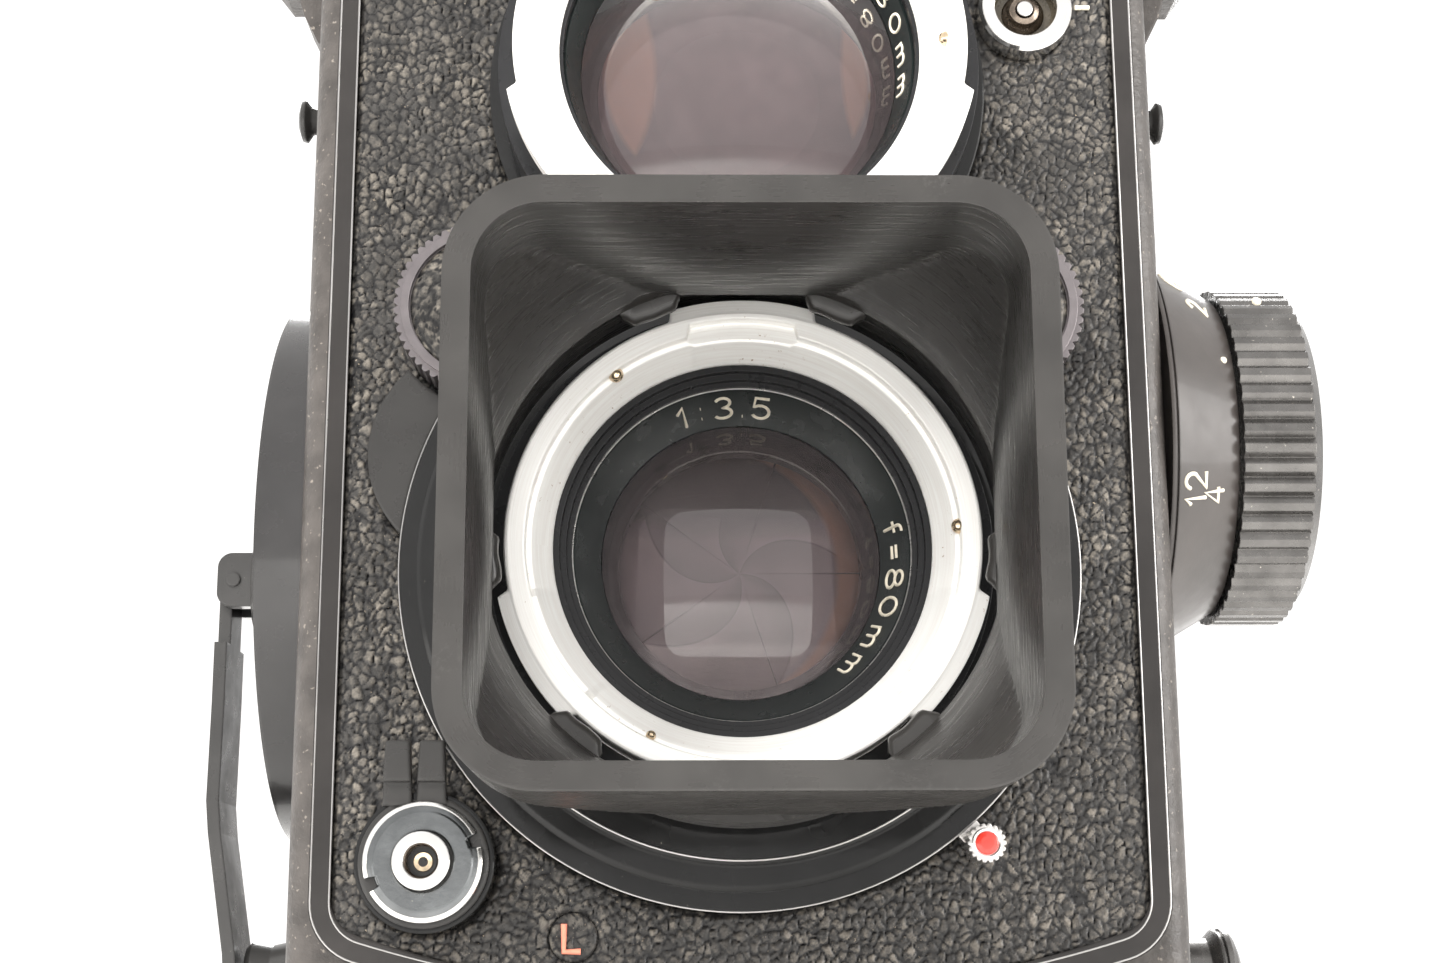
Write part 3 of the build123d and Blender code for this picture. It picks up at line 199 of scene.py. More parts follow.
def leather_finish(name, colour, rough):
    """Black pebbled leather: painted shade darkens the creases, the tops are paler with wear and painted
    highlight, with specks of dust and fine pores. The grain height is on the mesh.
    """
    s = Shader(name)
    grain = s.add("ShaderNodeAttribute", attribute_name="grain").outputs["Fac"]
    base = s.toned(colour, 0.35, 4.0)
    # Painted shade: where the grain is low, in the creases, the colour goes to near black.
    base = s.mix(s.span(grain, 0.95, 0.0, 0.1, 0.6), base, (0.004, 0.004, 0.005))
    # Partly wear and partly painted highlight: the tops of the grain go pale beige in patches.
    tops_wear_and_highlight = s.times(s.span(s.noise(0.8, 3.0, 0.6), 0.0, 1.0, 0.42, 0.62), s.span(grain, 0.0, 1.0, 0.4, 0.85))
    area = s.span(s.noise(7.0, 3.0), 0.3, 1.0, 0.35, 0.65)
    base = s.mix(s.times(tops_wear_and_highlight, area), base, (0.2, 0.178, 0.15))
    dust = s.ramp(s.noise(0.28, 2.0), 0.7, 0.75)
    base = s.mix(s.times(dust, s.span(s.noise(9.0), 0.1, 0.8, 0.45, 0.65)), base, (0.4, 0.33, 0.25))
    s.feed("Base Color", base)
    s.feed("Roughness", s.span(s.noise(0.5, 4.0), rough - 0.12, rough + 0.16))
    socket_defaults(s.bsdf, Specular_IOR_Level=0.32)
    s.feed("Normal", s.bump(s.noise(0.3, 3.0, 0.5), 0.07))
    return s.mat


def turned_metal(name, colour, rough, axis_z, tarnish):
    """Satin chrome with circular turning marks and small brown specks of wear."""
    s = Shader(name)
    streak = s.noise(1.0, 3.0, 0.6, coord=s.around(axis_z, 9.0))
    base = s.mix(s.span(streak), *tones(colour, 0.07))
    spots = s.ramp(s.noise(0.5, 3.0, 0.7), 0.66, 0.72)
    place = s.span(s.noise(5.0, 2.0), 0.0, 0.8, 0.48, 0.62)
    base = s.mix(s.times(spots, place), base, tarnish)
    s.feed("Base Color", base)
    socket_defaults(s.bsdf, Metallic=0.4)
    s.feed("Roughness", s.span(streak, rough - 0.07, rough + 0.09))
    scratch = s.noise(0.35, 5.0, 0.75)
    height = s.math("ADD", s.times(streak, 0.6), s.times(scratch, 0.25))
    s.feed("Normal", s.bump(height, 0.02, normal=s.soft_edges(0.15)))
    return s.mat


def printed_finish(name, colour, rough):
    """Printed plastic: uneven gloss between layers, scuffed pale in places."""
    s = Shader(name)
    base = s.toned(colour, 0.25, 7.0)
    stretch = s.add("ShaderNodeMapping")
    socket_defaults(stretch, Scale=(0.25, 4.0, 0.25))
    s.link(s.coord, stretch.inputs["Vector"])
    layers = s.noise(1.2, 4.0, 0.6, coord=stretch.outputs[0])
    scuff = s.ramp(s.noise(0.4, 5.0, 0.8), 0.52, 0.68)
    place = s.span(s.noise(11.0, 1.0), 0.0, 0.5, 0.55, 0.7)
    base = s.mix(s.times(scuff, place), base, (0.13, 0.125, 0.12))
    s.feed("Base Color", base)
    s.feed("Roughness", s.span(layers, rough - 0.1, rough + 0.12))
    s.feed("Normal", s.bump(layers, 0.012))
    return s.mat


def glass_finish(name, tint, rough, ior, transmission=1.0):
    """Optical glass; its coating is in the tint."""
    s = Shader(name)
    s.feed("Base Color", s.toned(tint, 0.06, 6.0))
    socket_defaults(s.bsdf, IOR=ior, Roughness=rough, Transmission_Weight=transmission)
    return s.mat


LEAVES = 5


def leaf_finish(name, colour, warm):
    """Closed shutter leaves that lap in a spiral, each with painted shade from light to dark across it, dark
    towards the top and warm by one edge.
    """
    s = Shader(name)
    x, dz, far, _ = s.plan(TAKING_Z)
    turn = s.times(s.math("ARCTAN2", dz, x), LEAVES / (2 * pi))
    share = s.math("FRACT", s.math("ADD", turn, s.times(far, 95.0)))
    # Painted shade: each leaf goes from light to dark across its width, so that the leaves look lapped.
    dark, light = tones(colour, 0.3)
    base = s.mix(s.span(share, 0.0, 1.0, 0.0, 1.0), light, dark)
    base = s.mix(s.span(share, 1.0, 0.0, 0.0, 0.035), base, (0.05, 0.045, 0.045))
    base = s.mix(s.span(dz, 0.0, 0.9, 0.003, 0.0055), base, (0.035, 0.042, 0.04))
    base = s.mix(s.span(dz, 0.55, 0.0, -0.0075, -0.006), base, (0.12, 0.122, 0.11))
    side = s.math("ADD", x, 0.0032)
    low = s.math("ADD", s.times(side, side), s.times(dz, dz))
    base = s.mix(s.span(s.math("SQRT", low), 0.0, 0.9, 0.0118, 0.0124), base, warm)
    s.feed("Base Color", base)
    s.feed("Roughness", s.span(s.noise(3.0), 0.3, 0.5))
    socket_defaults(s.bsdf, Metallic=0.4)
    s.feed("Normal", s.bump(s.noise(5.0, 0.0), 0.01))
    return s.mat


def stop_finish(name, colour, warm):
    """The dim wall behind the viewing glass, with a painted reflection: a warm crescent on either side."""
    s = Shader(name)
    x, dz, far, _ = s.plan(VIEWING_Z + 2.0)
    base = s.toned(colour, 0.35, 4.5, 2.0)
    base = s.mix(s.span(dz, 0.8, 0.0, -0.0105, -0.0085), base, (0.28, 0.2, 0.19))
    # Painted reflection: a warm crescent on either side, inside the rim.
    square = s.times(dz, dz)
    left = s.math("SUBTRACT", s.times(x, -1.0), s.times(square, 22.0))
    right = s.math("SUBTRACT", x, s.times(square, 12.0))
    sides = s.math("MAXIMUM", s.span(left, 0.0, 1.0, 0.0076, 0.0082), s.span(right, 0.0, 1.0, 0.0099, 0.0104))
    amount = s.times(sides, s.span(far, 1.0, 0.0, 0.0121, 0.0126))
    base = s.mix(amount, base, warm)
    s.feed("Base Color", base)
    s.feed("Roughness", s.span(s.noise(3.0), 0.4, 0.6))
    s.feed("Normal", s.bump(s.noise(6.0, 0.0), 0.02))
    return s.mat


MATS = {
    "body": finish("satin_black_paint", (0.055, 0.049, 0.045), 0.4, tone=0.28, patch=2.5, grain=0.1, pore=0.6,
        edge=0.35, specks=((0.17, 0.15, 0.13), 0.45, 0.66)),
    "rim": finish("board_lacquer", (0.02, 0.018, 0.017), 0.2, spec=0.4, pore=1.5, edge=0.35),
    "panel": finish("panel_lacquer", (0.009, 0.009, 0.009), 0.1, spec=0.35, grain=0.006, pore=2.0, edge=0.3,
        specks=((0.25, 0.23, 0.2), 0.3, 0.78)),
    "lobe": finish("ear_paint", (0.022, 0.021, 0.02), 0.3, tone=0.15, pore=0.5, edge=0.4),
    "leather": leather_finish("pebbled_leather", (0.03, 0.0285, 0.027), 0.33),
    "chrome_taking": turned_metal("turned_chrome_taking", (0.97, 0.945, 0.91), 0.42, TAKING_Z,
        (0.35, 0.22, 0.12)),
    "chrome_viewing": turned_metal("turned_chrome_viewing", (0.95, 0.93, 0.9), 0.4, VIEWING_Z,
        (0.45, 0.32, 0.2)),
    "chrome": finish("polished_chrome", (0.84, 0.83, 0.81), 0.12, 1.0, tone=0.05, grain=0.004, pore=0.6,
        edge=0.15),
    "chrome_satin": finish("satin_chrome", (0.66, 0.64, 0.62), 0.3, 1.0, tone=0.08, pore=0.3, edge=0.2),
    "steel": finish("bright_steel", (0.5, 0.49, 0.48), 0.32, 1.0, tone=0.1, pore=0.4),
    "dark_steel": finish("dark_steel", (0.17, 0.178, 0.182), 0.22, 1.0, tone=0.18, patch=3.0, grain=0.008,
        pore=0.5, edge=0.15, specks=((0.5, 0.48, 0.42), 0.25, 0.74)),
    "barrel": finish("anodised_black", (0.014, 0.014, 0.015), 0.3, grain=0.006, pore=0.5, edge=0.12,
        specks=((0.3, 0.3, 0.28), 0.25, 0.77), spec=0.3),
    "funnel": finish("name_ring_enamel", (0.006, 0.009, 0.0085), 0.3, tone=0.25, grain=0.003, pore=0.8,
        edge=0.08, specks=((0.3, 0.3, 0.26), 0.22, 0.79), spec=0.18),
    "ivory": finish("engraved_ivory", (0.72, 0.66, 0.54), 0.55, tone=0.15, patch=0.8, pore=0.2, edge=0),
    "coral": finish("coral_print", (0.75, 0.24, 0.16), 0.5, tone=0.15, patch=0.7, pore=0.2, edge=0),
    "red": finish("red_enamel", (0.68, 0.045, 0.03), 0.18, coat=0.6, tone=0.15, patch=0.8, grain=0.006,
        pore=0.4),
    "dial": finish("dial_alloy", (0.22, 0.2, 0.205), 0.36, 0.9, tone=0.12, patch=2.0, pore=0.3),
    "plastic": printed_finish("printed_plastic", (0.026, 0.0245, 0.023), 0.3),
    "grip": finish("grip_alloy", (0.15, 0.145, 0.14), 0.27, 0.9, patch=3.0, grain=0.006, pore=0.5, edge=0.15,
        specks=((0.5, 0.47, 0.42), 0.4, 0.72)),
    "scale": finish("scale_enamel", (0.045, 0.039, 0.036), 0.36, coat=0.15, grain=0.008, pore=0.6, edge=0.3),
    "enamel": finish("cover_enamel", (0.022, 0.021, 0.021), 0.24, coat=0.25, tone=0.25, patch=9.0,
        grain=0.012, pore=3.0, edge=0.5),
    "arm": finish("arm_lacquer", (0.03, 0.029, 0.028), 0.3, coat=0.3, pore=0.6, edge=0.3,
        specks=((0.3, 0.28, 0.25), 0.4, 0.76)),
    "brass": finish("aged_brass", (0.3, 0.2, 0.11), 0.32, 1.0, tone=0.3, patch=0.8, grain=0.015, pore=0.2),
    "gold": finish("pale_brass", (0.75, 0.6, 0.42), 0.2, 1.0, patch=0.5, edge=0.05, grain=0),
    "contact": finish("contact_steel", (0.2, 0.165, 0.135), 0.3, 1.0, tone=0.3, patch=0.6, pore=0.2),
    "insulator": finish("insulator_resin", (0.05, 0.042, 0.03), 0.3, patch=0.6, edge=0),
    "spool": finish("spool_plastic", (0.03, 0.03, 0.03), 0.35, tone=0.15, grain=0.006, pore=0.6, edge=0.15),
    "flock": finish("matte_black", (0.012, 0.012, 0.012), 0.75, grain=0.02, pore=0.2),
    "finder": finish("finder_paint", (0.03, 0.028, 0.027), 0.45, tone=0.15, grain=0.02, pore=0.3, edge=0.25),
    "blades": leaf_finish("shutter_steel", (0.34, 0.31, 0.315), (0.5, 0.3, 0.18)),
    "amber": finish("amber_wall", (0.42, 0.21, 0.11), 0.4, tone=0.25, patch=3.0, edge=0),
    "stop": stop_finish("viewing_stop", (0.17, 0.125, 0.14), (0.7, 0.42, 0.26)),
    "mirror": finish("silvered_mirror", (0.85, 0.86, 0.87), 0.03, 1.0, tone=0.03, edge=0, grain=0),
    "screen": glass_finish("ground_screen", (0.8, 0.81, 0.8), 0.55, 1.5, transmission=0.6),
    "clear": glass_finish("clear_glass", (0.96, 0.97, 0.97), 0.0, 1.52),
    "coated": glass_finish("coated_glass", (0.66, 0.58, 0.59), 0.0, 1.6, transmission=0.95),
    "coated_viewing": glass_finish("coated_viewing_glass", (0.66, 0.56, 0.57), 0.0, 1.58, transmission=0.95),
    "inner": glass_finish("inner_glass", (0.85, 0.78, 0.79), 0.0, 1.6, transmission=0.95),
}

CAD_FINISH = {
    "body": ["body_shell", "door_shell", "strap_lugs"],
    "flock": ["front_baffle"],
    "finder": ["finder_frame", "finder_lid", "finder_left", "finder_right", "finder_rear", "magnifier_frame"],
    "rim": ["lens_board"],
    "panel": ["lens_panel", "shutter_housing", "release_base"],
    "lobe": ["panel_lobe", "case_studs"],
    "chrome": ["release_button", "body_screws", "pc_socket"],
    "chrome_satin": ["timer_lever", "tripod_socket", "door_latch", "front_feet"],
    "steel": ["hinge_pins", "film_gate", "guide_rods", "film_roller"],
    "barrel": ["taking_barrel", "viewing_barrel", "pressure_plate"],
    "funnel": ["taking_name_ring", "viewing_name_ring"],
    "dial": ["aperture_dial", "speed_dial"],
    "grip": ["focus_knob", "upper_spool_knob", "lower_spool_knob"],
    "scale": ["focus_scale"],
    "enamel": ["crank_cover"],
    "arm": ["crank_arm", "crank_handle", "crank_spindle"],
    "brass": ["takeup_gear", "idler_gear"],
    "spool": ["takeup_spool", "feed_spool"],
    "blades": ["shutter_blades"],
    "mirror": ["reflex_mirror"],
    "screen": ["ground_glass"],
    "clear": ["magnifier_lens"],
    "inner": ["rear_glasses"],
}


def dress_cad_nodes():
    """Give every CAD node that stays its own finish."""
    for key, names in CAD_FINISH.items():
        for name in names:
            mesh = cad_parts[name].data
            if not mesh.materials:
                mesh.materials.append(MATS[key])
            for i in range(len(mesh.materials)):
                mesh.materials[i] = MATS[key]


SOFT_EDGES = {"lens_board": 0.32, "shutter_housing": 0.3, "lens_panel": 0.3, "crank_cover": 0.5,
              "focus_scale": 0.25}


def soften_cad_nodes():
    """Real rounded edges on the lacquered nodes, so that they catch the light."""
    for name, width in SOFT_EDGES.items():
        bevel(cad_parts[name], width, 40.0)


# ---- mesh helpers
def put(name, mesh, mat, body, replaces=()):
    """An object of the mesh, with its finish, that rides on a body."""
    mesh.materials.append(MATS[mat])
    obj = bpy.data.objects.new(name, mesh)
    show(obj)
    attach(obj, body)
    if replaces:
        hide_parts(*replaces)
    return obj


def build(name, shape, mat, body, slot=None, replaces=(), sharp=35.0, grain=None):
    """A mesh piece. shape is points in millimetres and faces, and grain a height for each point."""
    points, faces = shape
    mesh = bpy.data.meshes.new(name)
    mesh.from_pydata((np.asarray(points, float) * MM).tolist(), [], [tuple(map(int, f)) for f in faces])
    if grain is not None:
        values = np.asarray(grain, np.float32)
        mesh.attributes.new("grain", "FLOAT", "POINT").data.foreach_set("value", values)
    mesh.validate()
    mesh.shade_smooth()
    mesh.set_sharp_from_angle(angle=radians(sharp))
    return put(name, mesh, mat, body, replaces)


def spot(x, z, r, a, y):
    """The point at radius r and angle a, in radians, round an axis along Y."""
    return (x + r * cos(a), y, z + r * sin(a))


def weave(rows, cols, closed):
    """Quads between rows of points that are rings. closed joins the last row to the first."""
    faces = []
    for i in range(rows if closed else rows - 1):
        a, b = i * cols, ((i + 1) % rows) * cols
        for j in range(cols):
            k = (j + 1) % cols
            faces.append((a + j, a + k, b + k, b + j))
    return faces


def lathe_shape(profile, x, z, count):
    """A closed profile of (radius, y) turned round an axis along Y."""
    turn = np.linspace(0, 2 * pi, count, endpoint=False)
    rows = [np.stack([x + r * np.cos(turn), np.full(count, y), z + r * np.sin(turn)], 1) for r, y in profile]
    return np.concatenate(rows), weave(len(profile), count, True)


def hold(profile, shares=None, near=0.05):
    """The same closed outline with points just inside both ends of each run, which keeps flats flat.
    They lie at the given shares of the run, or near its ends if it is long enough."""
    out = []
    for (r0, y0), (r1, y1) in zip(profile, profile[1:] + profile[:1]):
        run = hypot(r1 - r0, y1 - y0)
        out.append((r0, y0))
        for share in shares or ((near / run, 1 - near / run) if run > 3 * near else ()):
            out.append((r0 + (r1 - r0) * share, y0 + (y1 - y0) * share))
    return out


def lathe(name, profile, x, z, mat, body, count=128, **more):
    """A closed ring or plug turned about an axis along Y."""
    profile = hold(profile)
    build(name, lathe_shape(profile, x, z, count), mat, body, **more)


def shift_faces(faces, offset):
    return [tuple(i + offset for i in f) for f in faces]


def merge(parts):
    """Several (points, faces) as one."""
    points, faces, offset = [], [], 0
    for p, f in parts:
        points.append(np.asarray(p, float))
        faces += shift_faces(f, offset)
        offset += len(p)
    return np.concatenate(points), faces


def capped(points, steps, size):
    """Rows of points as a tube that is closed at both ends."""
    faces = weave(steps + 1, size, False)
    faces.append(tuple(range(size)))
    faces.append(tuple(reversed(range(steps * size, (steps + 1) * size))))
    return np.array(points), faces


def turned(section_at, x, z, count):
    """A ring whose closed section, as (radius, y), changes with the angle in degrees."""
    rows = []
    for i in range(count):
        angle = 360.0 * i / count
        rows.append([spot(x, z, r, radians(angle), y) for r, y in section_at(angle)])
    return np.array(rows).reshape(-1, 3), weave(count, len(rows[0]), True)


def bevel(obj, width_mm, angle):
    mod = obj.modifiers.new("edges", "BEVEL")
    mod.width = width_mm * MM
    mod.segments = 3
    mod.limit_method = "ANGLE"
    mod.angle_limit = radians(angle)


# ---- leather grain
CELL = 0.78  # width of one pebble
LAP, RISE = 0.12, 0.5  # how far a sheet's edge runs out, and how far in it is full height


def fraction(ix, iy, k):
    """A repeatable number from 0 to 1 for each cell."""
    value = np.sin(ix * 127.1 + iy * 311.7 + k * 74.7) * 43758.5453
    return value - np.floor(value)


def cells(u, v, cell, seed):
    """Voronoi cells: share of the way from the edge, distance from the centre, the cell's number."""
    cu, cv = u / cell, v / (cell * 1.2)
    iu, iv = np.floor(cu), np.floor(cv)
    first = np.full(u.shape, 9.0)
    second = np.full(u.shape, 9.0)
    owner = np.zeros(u.shape)
    for du in (-1, 0, 1):
        for dv in (-1, 0, 1):
            gu, gv = iu + du, iv + dv
            pu, pv = gu + fraction(gu, gv, seed), gv + fraction(gu, gv, seed + 3)
            far = np.hypot(cu - pu, cv - pv)
            nearer = far < first
            second = np.where(nearer, first, np.minimum(second, far))
            owner = np.where(nearer, fraction(gu, gv, seed + 7), owner)
            first = np.where(nearer, far, first)
    return second - first, first, owner


def pebbles(u, v, cell, seed):
    """Height from 0 to 1 of a pebbled grain at points (u, v) in millimetres."""
    wu = u + 0.12 * np.sin(2.3 * v + 0.7 * u + seed) + 0.07 * np.sin(5.3 * v - 3.1 * u)
    wv = v + 0.12 * np.sin(2.1 * u - 0.9 * v + 2 * seed) + 0.07 * np.sin(4.9 * u + 3.6 * v)
    edge, centre, owner = cells(wu, wv, cell, seed)
    crease = np.clip(edge / 0.34, 0, 1)
    big = crease * (2 - crease) * (1 - 0.4 * np.clip(centre, 0, 1) ** 2) * (0.6 + 0.4 * owner)
    edge, centre, owner = cells(wu + 3.1, wv - 1.7, cell * 0.48, seed + 20)
    small = np.clip(edge / 0.4, 0, 1) * (0.5 + 0.5 * owner)
    return 0.78 * big + 0.22 * small


def grain_sheet(name, body, span, step, depth_at, place, height, foot, seed, replaces=()):
    """A leather sheet as a fine grid. depth_at(u, v) is how far inside its edge a point lies,
    place(u, v, h) gives its position, and the sheet's edge turns down to foot."""
    u0, u1, v0, v1 = span
    us = np.arange(u0, u1 + step, step)
    vs = np.arange(v0, v1 + step, step)
    u, v = np.meshgrid(us, vs)
    depth = depth_at(u, v)
    keep = depth > -LAP
    rise = np.clip((depth + LAP) / RISE, 0, 1)
    tall = pebbles(u, v, CELL, seed)
    h = tall * height * rise + LAP * rise - LAP
    quad = keep[:-1, :-1] & keep[1:, :-1] & keep[:-1, 1:] & keep[1:, 1:]
    used = np.zeros(u.shape, bool)
    for a in (0, 1):
        for b in (0, 1):
            used[a:u.shape[0] - 1 + a, b:u.shape[1] - 1 + b] |= quad
    number = np.full(u.shape, -1)
    number[used] = np.arange(used.sum())
    top = place(u[used], v[used], h[used])
    r, c = np.nonzero(quad)
    corners = np.stack([number[r, c], number[r, c + 1], number[r + 1, c + 1], number[r + 1, c]], 1)
    sides = np.concatenate([corners[:, [i, (i + 1) % 4]] for i in range(4)])
    key = np.sort(sides, 1)
    _, index, counts = np.unique(key[:, 0] * len(top) + key[:, 1], return_index=True, return_counts=True)
    rim = sides[index[counts == 1]]
    low = place(u[used], v[used], np.full(used.sum(), foot))
    rim_ids = np.unique(rim)
    low_number = np.full(len(top), -1)
    low_number[rim_ids] = len(top) + np.arange(len(rim_ids))
    skirt = np.stack([rim[:, 1], rim[:, 0], low_number[rim[:, 0]], low_number[rim[:, 1]]], 1)
    points = np.concatenate([top, low[rim_ids]])
    grain = np.concatenate([tall[used], np.zeros(len(rim_ids))])
    build(name, (points, np.concatenate([corners, skirt])), "leather", body, slot="black_leather",
                 replaces=replaces, sharp=80, grain=grain)


SHEET_HALF, SHEET_TOP, SHEET_BOW = 33.2, 117.9, 106.7
TAKING_CLEAR, VIEWING_CLEAR, DIAL_CLEAR = 28.2, 21.4, 7.8
FLANK = (-36.0, 33.3, 8.0, 118.0)
DOOR = (-34.0, 34.0, 8.0, 114.0)
LID = (-34.0, 34.0, -33.0, 33.5)
FLANK_X, DOOR_Y, LID_Z = 38.15, 41.85, 149.22
STUDS = [(-30.0, 112.0, 5.0), (-30.0, 96.4, 1.6)]
SPOOL_KNOBS = [(-14.0, 16.2, 3.05), (19.997, 89.9, 3.05)]


def circle_out(u, v, cu, cv, r):
    return np.hypot(u - cu, v - cv) - r


def board_depth(x, z):
    """How far inside the board's leather a point lies: the rim, the panel and the controls cut it."""
    inner = np.minimum(SHEET_HALF - np.abs(x), SHEET_TOP - z)
    inner = np.minimum(inner, SHEET_BOW - np.hypot(x, z - BOW_Z))
    panel = np.minimum(circle_out(x, z, 0, TAKING_Z, TAKING_CLEAR),
                       circle_out(x, z, 0, VIEWING_Z, VIEWING_CLEAR))
    waist = np.maximum(np.abs(x) - 19.4, np.abs(z - 74.0) - 12.0)
    dials = circle_out(np.abs(x), z, DIAL_X, DIAL_Z, DIAL_CLEAR)
    panel = np.maximum(np.minimum(panel, waist), -dials)
    lobe = np.maximum(circle_out(x, z, -21.5, TAKING_Z + 9.6, 9.5), x + 24.5)
    lobe = np.maximum(np.maximum(lobe, 50.0 - z), -dials)
    free = np.minimum(inner, np.minimum(panel, lobe))
    for cx, cz, r in ((PC_X, PC_Z, 4.1), (RELEASE_X, RELEASE_Z, 5.6), (MARK_X, MARK_Z, 2.05),
                      (DIAL_X, DIAL_Z, 2.2), (-DIAL_X, DIAL_Z, 2.2)):
        free = np.minimum(free, circle_out(x, z, cx, cz, r))
    return free


def side_depth(holes):
    """The same for a flank: a rectangle in (y, z) with round holes."""
    y0, y1, z0, z1 = FLANK

    def depth(y, z):
        free = np.minimum(np.minimum(y - y0, y1 - y), np.minimum(z - z0, z1 - z))
        for cy, cz, r in holes:
            free = np.minimum(free, circle_out(y, z, cy, cz, r))
        return free
    return depth


def rectangle_depth(a0, a1, b0, b1, r):
    """The same for a rounded rectangle."""
    def depth(a, b):
        ca, cb, ha, hb = (a0 + a1) / 2, (b0 + b1) / 2, (a1 - a0) / 2 - r, (b1 - b0) / 2 - r
        da, db = np.abs(a - ca) - ha, np.abs(b - cb) - hb
        outside = np.hypot(np.maximum(da, 0), np.maximum(db, 0)) + np.minimum(np.maximum(da, db), 0)
        return r - outside
    return depth


def make_leathers():
    """All sheets of leather: fine on the board, which the photo shows, and coarser elsewhere."""
    grain_sheet("board_grain", STANDARD, (-33.6, 33.6, 14.8, 118.3), 0.135, board_depth,
                lambda x, z, h: np.stack([x, LEATHER_Y + 0.1 - h, z], 1), 0.36, -0.6, 1.0,
                replaces=("board_leather",))
    coarse, height = 0.33, 0.2
    right = side_depth(STUDS + [(KNOB_Y, KNOB_Z, 15.0)] + SPOOL_KNOBS)
    left = side_depth(STUDS + [(COVER_Y, COVER_Z, 24.5)])
    grain_sheet("right_grain", "camera_body", FLANK, coarse, right,
                lambda y, z, h: np.stack([FLANK_X + h, y, z], 1), height, -0.5, 2.0,
                replaces=("side_leathers",))
    grain_sheet("left_grain", "camera_body", FLANK, coarse, left,
                lambda y, z, h: np.stack([-FLANK_X - h, y, z], 1), height, -0.5, 3.0)
    grain_sheet("door_grain", "back_door", DOOR, coarse, rectangle_depth(*DOOR, 2.0),
                lambda x, z, h: np.stack([x, DOOR_Y + h, z], 1), height, -0.3, 4.0,
                replaces=("door_leather",))
    grain_sheet("lid_grain", "finder_lid", LID, coarse, rectangle_depth(*LID, 0.2),
                lambda x, y, h: np.stack([x, y, LID_Z + h], 1), height, -0.2, 5.0)


def grained_disc(name, x, z, body, radius, rings, count, middle, cell, seed, surface, skirt=None):
    """A round of leather on rings, so that its edge is round. surface(grain, rings left) gives y."""
    points, grain = [(x, middle, z)], [0.5]
    turn = np.linspace(0, 2 * pi, count, endpoint=False)
    for i in range(1, rings + 1):
        r = radius * i / rings
        px, pz = x + r * np.cos(turn), z + r * np.sin(turn)
        tall = pebbles(px, pz, cell, seed)
        grain += list(tall)
        points += list(zip(px, surface(tall, rings - i), pz))
    if skirt is not None:
        points += list(zip(px, np.full(count, skirt), pz))
        grain += [0.0] * count
        rings += 1
    faces = [(0, 1 + (j + 1) % count, 1 + j) for j in range(count)]
    faces += shift_faces(weave(rings, count, False), 1)
    build(name, (points, faces), "leather", body, slot="black_leather", sharp=80, grain=grain)


def dial_insert(name, x, body, seed):
    """The leather disc glued in a dial's dish."""
    def surface(tall, left):
        fade = min(1.0, left / 3.0)
        return -51.78 - tall * 0.24 * fade - 0.1 * fade

    grained_disc(name, x, DIAL_Z, body, 5.9, 34, 110, -51.95, 0.86, seed, surface, -51.7)


def make_mark():
    """The small round cap of leather that carries the printed letter."""
    def surface(tall, left):
        return -46.05 - tall * 0.1 + (0.0 if left else 0.25)

    grained_disc("mark_cap", MARK_X, MARK_Z, STANDARD, 1.95, 12, 60, -46.12, 0.8, 9.0, surface)


# ---- lettering
def arc(cx, cy, rx, ry, a0, a1, n=12):
    spread = [radians(a0 + (a1 - a0) * i / n) for i in range(n + 1)]
    return [(cx + rx * cos(a), cy + ry * sin(a)) for a in spread]


def dot(cx, cy):
    return [(cx - 0.015, cy), (cx + 0.015, cy)]


GLYPHS = {
    "0": (0.72, [arc(0.36, 0.5, 0.36, 0.5, 90, 450, 24)]),
    "1": (0.42, [[(0.0, 0.72), (0.24, 1.0), (0.24, 0.0)]]),
    "2": (0.7, [arc(0.34, 0.68, 0.32, 0.32, 165, -30) + [(0.0, 0.0), (0.7, 0.0)]]),
    "3": (0.68, [arc(0.32, 0.76, 0.28, 0.24, 150, -90, 10) + arc(0.32, 0.26, 0.34, 0.26, 88, -150)]),
    "4": (0.74, [[(0.54, 0.0), (0.54, 1.0), (0.0, 0.28), (0.74, 0.28)]]),
    "5": (0.7, [[(0.62, 1.0), (0.12, 1.0), (0.07, 0.56)] + arc(0.34, 0.32, 0.34, 0.32, 130, -150)]),
    "6": (0.7, [arc(0.6, 0.62, 0.58, 0.4, 100, 180, 6) + arc(0.36, 0.31, 0.34, 0.31, 180, 540, 20)]),
    "8": (0.7, [arc(0.35, 0.76, 0.27, 0.24, 90, 450, 18), arc(0.35, 0.27, 0.34, 0.27, 90, 450, 20)]),
    "f": (0.46, [arc(0.4, 0.78, 0.2, 0.22, 70, 180, 6) + [(0.2, 0.0)], [(0.0, 0.56), (0.42, 0.56)]]),
    "m": (0.86, [[(0.0, 0.0), (0.0, 0.62)], arc(0.2, 0.4, 0.2, 0.22, 180, 0, 8) + [(0.4, 0.0)],
                 arc(0.62, 0.4, 0.22, 0.22, 180, 0, 8) + [(0.84, 0.0)]]),
    "=": (0.5, [[(0.0, 0.3), (0.5, 0.3)], [(0.0, 0.55), (0.5, 0.55)]]),
    ":": (0.1, [dot(0.05, 0.16), dot(0.05, 0.66)]),
    ".": (0.1, [dot(0.05, 0.05)]),
    "L": (0.62, [[(0.0, 1.0), (0.0, 0.0), (0.62, 0.0)]]),
}


